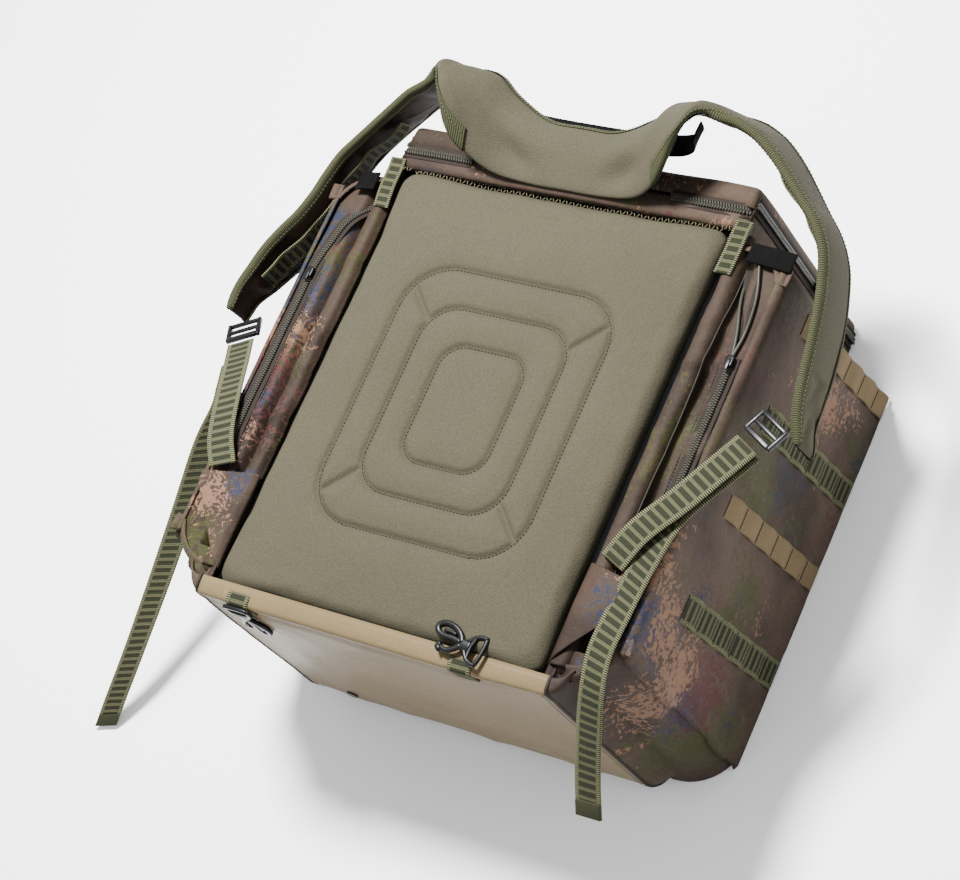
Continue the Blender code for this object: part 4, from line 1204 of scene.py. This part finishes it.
def wall_strips(side):
    word = "right" if side > 0 else "left"
    for number, edge_y in enumerate(STRIP_EDGE_Y, start=1):
        low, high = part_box(f"{word}_strip_{number}")
        tan = number % 2 == 1
        width = 0.025 if tan else 0.030
        length = high.z - low.z
        tan_tilt = math.tan(STRIP_TILT)

        def place(u, v):
            z = high.z - length * v
            run = v * length
            y = edge_y - width * (1 - u) + tan_tilt * run
            lift = 0.0026 * math.sin(math.pi * (run / TACK_PITCH % 1.0)) ** 2 * ease(v, 0.0, 0.04)
            rib = 0.0
            if not tan and abs(u - 0.5) < 0.34 and abs(run / RIB_PITCH % 1.0 - 0.5) > 0.28:
                rib = RIB_HEIGHT
            return Vector((side * (POCKET_X + 0.0012 + lift + rib), y, z))

        bm = laid_grid(place, 10, 100, (0.030, length))
        made = piece(f"{word}_loop_{number}", bm, ["tan_webbing" if tan else "ladder_webbing"], "bag",
                     [f"{word}_strip_{number}"], outwards=False)
        thicken(made, WEB_THICKNESS)
        bm = bmesh.new()
        tacks = int(length / TACK_PITCH)
        for tack in range(tacks + 1):
            v = min(tack * TACK_PITCH / length + 0.003, 0.995)
            for stitch in range(9):
                spot = place(0.06 + 0.88 * (stitch + 0.5) / 9, v) + Vector((side * 0.0010, 0, 0))
                bar = bmesh.ops.create_cube(bm, size=1.0)["verts"]
                bmesh.ops.scale(bm, vec=(0.0007, width / 9 * 0.70, 0.0009), verts=bar)
                bmesh.ops.translate(bm, vec=spot, verts=bar)
        piece(f"{word}_loop_tacks_{number}", bm, ["dark_thread"], "bag")


# ---- harness ------------------------------------------------------------------------------
def harness_knots(side):
    rims, middles, lowers, shifts = [], [], [], []
    for x, root, crest, neck in YOKE_STATIONS:
        seated = 1 - ease(x, 0.085, 0.125)
        rims.append(Vector((side * x, root[0] - 0.0075 * seated, root[1] - 0.0060 * seated)))
        middles.append(Vector((side * x, *crest)))
        lowers.append(Vector((side * x, *neck)))
        shifts.append((1.0, 0, 0))
    rim_at, _ = smooth_route([(0.155, 0.314, 0.360), *RIM[side]])
    for i in range(1, 15):
        drop = knot_blend(DROP[side], i / 14)
        clear = 0.0045 * min(i / 3, 1.0)
        rim = rim_at(i / 14)
        a = Vector((side * (rim.x + clear), rim.y, rim.z))
        step = Vector((side * drop.x, drop.y, drop.z)) * (1.0 - 0.30 * ease(i, 11, 14))
        rims.append(a)
        middles.append(a + step / 2)
        lowers.append(a + step)
        shifts.append((max(0.0, 0.5 - 0.5 * (i - 1)), 0, 0))
    return rims, middles, lowers, shifts


class Harness:
    """Half of the yoke and the shoulder strap after it, as one padded band."""

    def __init__(self, side):
        self.side = side
        self.knots = harness_knots(side)
        steps = 200
        self.length = 0.0
        for i in range(steps):
            self.length += (self.spine(i / steps, 0.5) - self.spine((i + 1) / steps, 0.5)).length

    def spine(self, v, u):
        rim, middle, lower = (knot_curve(knots, v) for knots in self.knots[:3])
        return rim * (1 - u) * (1 - 2 * u) + middle * 4 * u * (1 - u) + lower * u * (2 * u - 1)

    def normal(self, v, u):
        u = min(max(u, 0.02), 0.98)
        v = min(max(v, 0.004), 0.996)
        along = self.spine(v + 0.004, u) - self.spine(v - 0.004, u)
        across = self.spine(v, u + 0.02) - self.spine(v, u - 0.02)
        out = along.cross(across).normalized()
        return out * self.side

    def surface(self, angle, v, extra=0.0, wrinkles=True):
        """Point on the band's skin: angle 0 is the upper rim, 90 degrees the outer face."""
        u = 0.5 - 0.5 * math.cos(angle)
        half = HARNESS_THICKNESS / 2 * abs(math.sin(angle)) ** 0.62
        end = math.sqrt(max(1 - ((max(v, 0.975) - 0.975) / 0.025) ** 2, 0.0))
        half *= 0.25 + 0.75 * end
        sign = 1.0 if math.sin(angle) >= 0 else -1.0
        base = self.spine(v, u)
        out = self.normal(v, u)
        shift = knot_blend(self.knots[3], v).x * HARNESS_THICKNESS / 2
        lift = sign * half - shift
        if wrinkles and sign > 0:
            lift += self.dimples(v, u)
        if wrinkles and sign < 0:
            inner = math.sin(math.pi * u)
            lift -= inner * (0.0020 * ripple(base, 26.0, (1.6, 1.6, 0.5), 3.0) + 0.0022 * crease(base, 18.0, (1.5, 1.5, 0.5), 5.0))
        edge = Vector(self.spine(v, 1.0) - self.spine(v, 0.0)).normalized()
        return base + out * (lift + sign * extra * abs(math.sin(angle))) - edge * extra * math.cos(angle)

    def dimples(self, v, u):
        """Hollows near the yoke's root seam and soft waves along the strap."""
        base = self.spine(v, u)
        x = abs(base.x)
        hollow = -0.0080 * math.exp(-((x - 0.056 - 0.05 * u) / 0.022) ** 2 - ((u - 0.20) / 0.12) ** 2)
        swell = 0.0045 * math.exp(-((x - 0.055) / 0.040) ** 2 - ((u - 0.45) / 0.22) ** 2)
        dart = 0.0
        if v > 0.86:
            dart = -0.0030 * crease(base, 20.0, (0.5, 1.0, 1.8), 9.0) * math.sin(math.pi * u)
        return hollow + swell + dart + 0.0009 * ripple(base, 16.0, seed=2.0)


def build_harness(side):
    word = "right" if side > 0 else "left"
    band = Harness(side)
    columns, rows = 44, 200

    def skin(u, v):
        return band.surface(2 * math.pi * u, v)

    bm = laid_grid(skin, columns, rows, (0.16, band.length))
    layer = bm.loops.layers.uv["cloth"]
    for face in bm.faces:
        share = sum(loop[layer].uv.x for loop in face.loops) / len(face.loops) / 0.16
        face.material_index = 0 if share < 0.5 else 1
    bmesh.ops.remove_doubles(bm, verts=bm.verts, dist=1e-5)
    bmesh.ops.holes_fill(bm, edges=[e for e in bm.edges if e.is_boundary], sides=columns + 2)
    stands_for = [f"{word}_shoulder_pad"] + (["yoke"] if side > 0 else [])
    made = piece(f"{word}_harness_pad", bm, ["knit", "lining"], None, stands_for)
    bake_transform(made)

    for label, middle_angle, low_v, high_v in (("rim", 0.0, 0.0, 1.0), ("lower", math.pi, 0.0, 1.0)):
        if label == "rim":
            low_v = 0.16

        def cover(u, v):
            angle = middle_angle + (u - 0.5) * 1.50
            return band.surface(angle, low_v + (high_v - low_v) * v, sizes().binding, wrinkles=False)

        bm = laid_grid(cover, 12, 260, (0.024, band.length * (high_v - low_v)))
        made = piece(f"{word}_binding_{label}", bm, ["binding"], None, outwards=False)
        thicken(made, 0.0009)
        settle(made)
        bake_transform(made)
        for face_side in (1, -1):
            angle = middle_angle + face_side * 0.62
            points = [band.surface(angle, low_v + 0.005 + (high_v - low_v - 0.01) * i / 59, 0.0018, wrinkles=False)
                      for i in range(60)]
            normals = []
            for i in range(12):
                v = low_v + (high_v - low_v) * i / 11
                sign = 1.0 if math.sin(angle) >= 0 else -1.0
                normals.append(band.normal(v, 0.5 - 0.5 * math.cos(angle)) * sign)
            made = stitches(f"{word}_binding_thread_{label}_{'out' if face_side > 0 else 'in'}", points, normals,
                            "pale_thread", 0.0042, 0.0006, None)
            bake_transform(made)
    return band


def ladder_bows(side, band):
    """Ladder webbing tacked in bows along the inside of the shoulder strap."""
    word = "right" if side > 0 else "left"
    route, across = [], []
    for i in range(15):
        v = 0.46 + 0.44 * i / 14
        inward = -band.normal(v, 0.5)
        bow = (0.0010, 0.0052, 0.0042)[i % 3] * (1.0 - 0.05 * i)
        route.append(band.spine(v, 0.5) + inward * (HARNESS_THICKNESS / 2 + 0.0014 + bow))
        across.append((band.spine(v, 0.0) - band.spine(v, 1.0)).normalized())
    ribbon(f"{word}_ladder_bows", route, across, 0.025, "ladder_webbing",
           f"{word}_shoulder_strap", stands_for=[f"{word}_daisy_web"])


def loose_webbing(side):
    word = "right" if side > 0 else "left"
    flat = (side * 0.88, -0.475, 0.0)
    made = ribbon(f"{word}_adjuster", WEB_ROUTE[side], (flat, flat, (side * 0.92, -0.4, 0)), 0.030,
                  "ladder_webbing", stands_for=[f"{word}_anchor_web"])
    made = ribbon(f"{word}_tail", TAIL_ROUTE[side], TAIL_ACROSS[side], 0.028, "ladder_webbing",
                  f"{word}_shoulder_strap", stands_for=[f"{word}_web_tail"])
    at, length = smooth_route(TAIL_ROUTE[side])
    side_way = knot_blend(TAIL_ACROSS[side], 1.0).normalized()
    way = along_route(at, 0.99)
    up = side_way.cross(way).normalized()
    hem = box_bmesh((-0.0135, -0.008, -0.0022), (0.0135, 0.008, 0.0022))
    round_edges(hem, list(hem.edges), 0.0008, 2)
    turn = Matrix((side_way, way, up)).transposed().to_4x4()
    bmesh.ops.transform(hem, matrix=Matrix.Translation(at(1.0) - way * 0.008) @ turn, verts=hem.verts)
    piece(f"{word}_tail_hem", hem, ["binding"], f"{word}_shoulder_strap")


def stabilisers(side):
    word = "right" if side > 0 else "left"
    low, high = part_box(f"{word}_stabiliser_web")
    ends = (low.x, high.x) if side > 0 else (high.x, low.x)
    middle_y, z = (low.y + high.y) / 2, (low.z + high.z) / 2
    route = [(ends[0], middle_y + 0.002, z), ((ends[0] + ends[1]) / 2, middle_y, z + 0.001),
             (ends[1], middle_y - 0.002, z)]
    ribbon(f"{word}_stabiliser", route, [(0, 1, 0), (0, 1, 0)], 0.020, "black_webbing",
           stands_for=[f"{word}_stabiliser_web"])


def handle():
    route = [(x, HANDLE_Y, z) for x, z in HANDLE_PROFILE]
    ribbon("carry_handle", route, [(0, 1, 0), (0, 1, 0)], 0.024, "black_webbing", "grab_handle",
           ribbed=False, stands_for=["grab_handle"], thickness=0.0018)


# ---- hardware -----------------------------------------------------------------------------
def ladder_lock(side):
    """Moulded frame with a curved thumb tab, two slots and rounded bars."""
    word = "right" if side > 0 else "left"
    along = Vector(LOCK_WAY[side]).normalized()
    across = Vector((along.y, -along.x, 0.0)).normalized()
    normal = across.cross(along)
    turn = Matrix((along, across, normal)).transposed().to_4x4()
    place = Matrix.Translation(Vector(LOCK_CENTRE[side])) @ turn
    bm = bmesh.new()
    half_l, half_w = 0.0125, 0.0195
    for low, high in (((-half_l, -half_w, -0.0024), (half_l, -half_w + 0.0042, 0.0026)),
                      ((-half_l, half_w - 0.0042, -0.0024), (half_l, half_w, 0.0026)),
                      ((-half_l, -half_w + 0.003, -0.0022), (-half_l + 0.0042, half_w - 0.003, 0.0020)),
                      ((-0.0022, -half_w + 0.003, -0.0012), (0.0022, half_w - 0.003, 0.0022)),
                      ((half_l - 0.0046, -half_w + 0.003, -0.0014), (half_l + 0.0010, half_w - 0.003, 0.0034))):
        bar = box_bmesh(low, high)
        round_edges(bar, list(bar.edges), 0.0012, 3)
        join_bmesh(bm, bar)
    bmesh.ops.transform(bm, matrix=place, verts=bm.verts)
    piece(f"{word}_lock_body", bm, ["black_plastic"], f"{word}_lock", [f"{word}_ladder_lock"])


def loft_bar(bm, points, width, thickness):
    """Flat rounded bar along points in the XY plane, closed at both ends."""
    at, length = smooth_route([(x, y, 0.0) for x, y in points])

    def place(u, v):
        way = along_route(at, v)
        side = Vector((-way.y, way.x, 0.0))
        angle = 2 * math.pi * u
        squared = lambda value: math.copysign(abs(value) ** 0.6, value)
        return at(v) + side * squared(math.cos(angle)) * width / 2 + Vector((0, 0, squared(math.sin(angle)) * thickness / 2))

    part = laid_grid(place, 12, max(int(length / 0.002), 6), (0.01, length))
    bmesh.ops.remove_doubles(part, verts=part.verts, dist=1e-6)
    bmesh.ops.holes_fill(part, edges=[e for e in part.edges if e.is_boundary], sides=14)
    join_bmesh(bm, part)


def hook_shape():
    """Hook in its own plane: slotted head, waist, closed ring with a gate and a forked knob."""
    bm = bmesh.new()
    w = 0.0135
    loft_bar(bm, [(-w, 0.001), (-w * 0.4, 0.0), (w * 0.4, 0.0), (w, 0.001)], 0.0042, 0.0042)
    loft_bar(bm, [(-w, 0.000), (-w, 0.006), (-w * 0.8, 0.0125), (-w * 0.3, 0.019)], 0.0042, 0.0042)
    loft_bar(bm, [(w, 0.000), (w, 0.006), (w * 0.8, 0.0125), (w * 0.3, 0.019)], 0.0042, 0.0042)
    loft_bar(bm, [(-w * 0.9, 0.0118), (0.0, 0.0135), (w * 0.9, 0.0118)], 0.0040, 0.0040)
    loft_bar(bm, [(0.0, 0.014), (0.0, 0.020), (0.0, 0.026)], 0.0110, 0.0046)
    loft_bar(bm, [(0.001, 0.024), (0.008, 0.030), (0.0125, 0.040), (0.0125, 0.050), (0.008, 0.0565),
                  (0.0025, 0.054), (0.0005, 0.046), (0.0015, 0.036), (0.001, 0.026)], 0.0056, 0.0050)
    loft_bar(bm, [(0.006, 0.034), (0.0065, 0.041), (0.0055, 0.048)], 0.0036, 0.0034)
    loft_bar(bm, [(-0.001, 0.024), (-0.0075, 0.030), (-0.0115, 0.037), (-0.0105, 0.044)], 0.0056, 0.0046)
    loft_bar(bm, [(-0.0135, 0.043), (-0.0105, 0.047), (-0.0070, 0.0445)], 0.0056, 0.0052)
    return bm


def hooks():
    for side, word in ((-1, "left"), (1, "right")):
        low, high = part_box(f"{word}_hip_hook")
        loop_low, loop_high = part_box(f"{word}_hook_loop")
        loop_x = (loop_low.x + loop_high.x) / 2
        bm = hook_shape()
        if side > 0:
            spot = Vector((loop_x + 0.0216, (low.y + high.y) / 2, (low.z + high.z) / 2 + 0.0015))
            place = Matrix.Translation(spot) @ Matrix.Rotation(math.radians(83), 4, "Z")
        else:
            place = Matrix.Translation((loop_x, HOOK_PIN_Y, HOOK_PIN_Z)) @ Matrix.Rotation(-math.pi / 2, 4, "X")
        bmesh.ops.transform(bm, matrix=place, verts=bm.verts)
        piece(f"{word}_belt_hook", bm, ["black_plastic"], f"{word}_hook", [f"{word}_hip_hook"])
        z = loop_high.z
        route = [(loop_x, loop_high.y + 0.010, z + 0.0035), (loop_x, loop_high.y + 0.001, z + 0.0030),
                 (loop_x, loop_high.y - 0.003, z - 0.001), (loop_x, loop_high.y - 0.002, z - 0.010),
                 (loop_x, loop_high.y - 0.001, loop_low.z)]
        ribbon(f"{word}_belt_loop", route, [(1, 0, 0), (1, 0, 0)], 0.026, "ladder_webbing",
               stands_for=[f"{word}_hook_loop"])


# ---- trims --------------------------------------------------------------------------------
def trims(side):
    word = "right" if side > 0 else "left"
    low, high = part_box(f"{word}_corner_tab")
    x = side * (PAD_HIGH.x + 0.009)
    route = [(x + side * 0.001, high.y + 0.006, high.z + 0.0030), (x, high.y - 0.006, high.z + 0.0026),
             (x, (low.y + high.y) / 2, high.z + 0.0022), (x - side * 0.002, low.y, high.z + 0.0005)]
    ribbon(f"{word}_corner_webbing", route, [(1, 0, 0), (1, 0, 0)], 0.018, "ladder_webbing",
           stands_for=[f"{word}_corner_tab"], thickness=0.0024)
    low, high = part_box(f"{word}_wing")

    def place(u, v):
        """u runs from the pad's side outwards, v from the upper edge to the lower."""
        root = Vector((side * (PAD_HIGH.x + 0.0004), high.y - 0.000 + (low.y - high.y) * v, high.z))
        tip = Vector((side * (0.262), high.y - 0.012 - 0.010 * v, high.z + 0.0012))
        spot = root.lerp(tip, u)
        fold = 0.0035 * math.sin(math.pi * v) * math.sin(math.pi * min(u * 1.2, 1.0))
        crumple = 0.0016 * crease(spot, 20.0, (1.0, 0.7, 1.0), side * 3.0)
        return spot + Vector((0, 0, 0.0015 + fold + crumple - 0.006 * math.exp(-(u / 0.05) ** 2)))

    bm = laid_grid(place, 30, 40, (0.066, 0.10))
    made = piece(f"{word}_wing_flap", bm, ["camo" if side < 0 else "camo_satin"], "bag", [f"{word}_wing"], outwards=False)
    thicken(made, FABRIC)


def shown_frame_nodes():
    """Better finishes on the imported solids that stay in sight."""
    wanted = {
        "board": ("back_board", "base_board"),
        "black_plastic": ("left_base_foot", "right_base_foot"),
    }
    for finish, names in wanted.items():
        for name in names:
            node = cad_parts[name]
            node.data.materials.clear()
            node.data.materials.append(bpy.data.materials[FINISH_PREFIX + finish])


# ---- camera, lights and floor -------------------------------------------------------------
CAMERA_TARGET = Vector((0.0, 0.0, 0.15))
CAMERA_DISTANCE = 2.9
CAMERA_AZIMUTH = math.radians(63.33)
CAMERA_ELEVATION = math.radians(53.28)
CAMERA_ROLL = math.radians(-44.02)
CAMERA_LENS = 108.3
CAMERA_SHIFT = (-0.0484, 0.0303)


def soft_light(name, place, size, power, target=(0, 0, 0.15)):
    lamp = bpy.data.lights.new(name, "AREA")
    lamp.shape = "DISK"
    lamp.size = size
    lamp.energy = power
    made = bpy.data.objects.new(name, lamp)
    made.location = place
    way = Vector(target) - Vector(place)
    made.rotation_euler = way.to_track_quat("-Z", "Y").to_euler()
    bpy.context.collection.objects.link(made)


def set_stage():
    turn = (Matrix.Rotation(CAMERA_AZIMUTH, 4, "Z") @ Matrix.Rotation(math.pi / 2 - CAMERA_ELEVATION, 4, "X")
            @ Matrix.Rotation(CAMERA_ROLL, 4, "Z"))
    lens = bpy.data.cameras.new("camera")
    lens.lens = CAMERA_LENS
    lens.sensor_width = 36.0
    lens.shift_x, lens.shift_y = CAMERA_SHIFT
    lens.clip_end = 50.0
    camera = bpy.data.objects.new("camera", lens)
    camera.matrix_world = Matrix.Translation(CAMERA_TARGET) @ turn @ Matrix.Translation((0, 0, CAMERA_DISTANCE))
    bpy.context.collection.objects.link(camera)
    bpy.context.scene.camera = camera
    world = bpy.data.worlds.new("studio")
    world.use_nodes = True
    sky = world.node_tree.nodes["Background"]
    sky.inputs["Color"].default_value = (0.97, 0.98, 1.0, 1.0)
    sky.inputs["Strength"].default_value = 1.15
    bpy.context.scene.world = world
    right = turn.to_3x3() @ Vector((1, 0, 0))
    up = turn.to_3x3() @ Vector((0, 1, 0))
    back = turn.to_3x3() @ Vector((0, 0, 1))
    key = CAMERA_TARGET + (-right * 0.9 + up * 1.5 + back * 1.3)
    soft_light("key", key, 0.5, 265.0)
    fill = CAMERA_TARGET + (right * 1.9 + up * 0.2 + back * 1.4)
    soft_light("fill", fill, 1.6, 12.0)
    half = sizes().floor / 2
    bm = bmesh.new()
    bmesh.ops.create_grid(bm, x_segments=4, y_segments=4, size=half)
    bmesh.ops.translate(bm, vec=(0, 0, -0.0005), verts=bm.verts)
    floor = piece("floor", bm, ["floor"], None, outwards=False)


# ---- operators ----------------------------------------------------------------------------
class BACKPACK_OT_stage(bpy.types.Operator):
    """Add the camera, the soft lights and the floor"""
    bl_idname = "backpack.stage"
    bl_label = "Stage"

    def execute(self, context):
        make_finishes()
        set_stage()
        return {"FINISHED"}


class BACKPACK_OT_frame_finishes(bpy.types.Operator):
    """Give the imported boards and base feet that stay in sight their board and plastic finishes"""
    bl_idname = "backpack.frame_finishes"
    bl_label = "Inner Panels"

    def execute(self, context):
        shown_frame_nodes()
        return {"FINISHED"}


class BACKPACK_OT_back_pad(bpy.types.Operator):
    """Sew the quilted back pad"""
    bl_idname = "backpack.back_pad"
    bl_label = "Back Pad"

    def execute(self, context):
        cushion = back_cushion()
        quilt_thread(cushion)
        pad_edge_thread(cushion)
        return {"FINISHED"}


class BACKPACK_OT_shell(bpy.types.Operator):
    """Sew the coated base, the collar and the lid"""
    bl_idname = "backpack.shell"
    bl_label = "Base, Collar and Lid"

    def execute(self, context):
        base_shell()
        base_ends()
        body_walls()
        collar()
        lid_shell()
        return {"FINISHED"}


class BACKPACK_OT_pockets(bpy.types.Operator):
    """Sew both side pockets with their zips and webbing loops"""
    bl_idname = "backpack.pockets"
    bl_label = "Side Pockets"

    def execute(self, context):
        for side in (-1, 1):
            side_pocket(side)
            wall_strips(side)
            trims(side)
        return {"FINISHED"}


class BACKPACK_OT_harness(bpy.types.Operator):
    """Sew the yoke, the shoulder straps and their webbing"""
    bl_idname = "backpack.harness"
    bl_label = "Yoke and Straps"

    def execute(self, context):
        for side in (-1, 1):
            band = build_harness(side)
            ladder_bows(side, band)
            loose_webbing(side)
            stabilisers(side)
        handle()
        return {"FINISHED"}


class BACKPACK_OT_hardware(bpy.types.Operator):
    """Mould the ladder locks and the hip-belt hooks"""
    bl_idname = "backpack.hardware"
    bl_label = "Buckles and Hooks"

    def execute(self, context):
        for side in (-1, 1):
            ladder_lock(side)
        hooks()
        return {"FINISHED"}


class BACKPACK_PT_panel(bpy.types.Panel):
    """Lists the backpack's operators and settings"""
    bl_idname = "BACKPACK_PT_panel"
    bl_label = "Tackle Backpack"
    bl_space_type = "VIEW_3D"
    bl_region_type = "UI"
    bl_category = "Backpack"

    def draw(self, context):
        for group in (context.scene.backpack_sizes, context.scene.backpack_colours):
            for name in group.__annotations__:
                self.layout.prop(group, name)
        for operator in OPERATORS:
            self.layout.operator(operator.bl_idname)


OPERATORS = (BACKPACK_OT_stage, BACKPACK_OT_frame_finishes, BACKPACK_OT_back_pad, BACKPACK_OT_shell,
             BACKPACK_OT_pockets, BACKPACK_OT_harness, BACKPACK_OT_hardware)
CLASSES = (BackpackColours, BackpackSizes, *OPERATORS, BACKPACK_PT_panel)


def register():
    for made in CLASSES:
        bpy.utils.register_class(made)
    bpy.types.Scene.backpack_colours = PointerProperty(type=BackpackColours)
    bpy.types.Scene.backpack_sizes = PointerProperty(type=BackpackSizes)


def unregister():
    del bpy.types.Scene.backpack_sizes
    del bpy.types.Scene.backpack_colours
    for made in reversed(CLASSES):
        bpy.utils.unregister_class(made)


def main():
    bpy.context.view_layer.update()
    register()
    bpy.ops.backpack.stage()
    bpy.ops.backpack.frame_finishes()
    bpy.ops.backpack.back_pad()
    bpy.ops.backpack.shell()
    bpy.ops.backpack.pockets()
    bpy.ops.backpack.harness()
    bpy.ops.backpack.hardware()


if __name__ == "__main__":
    main()
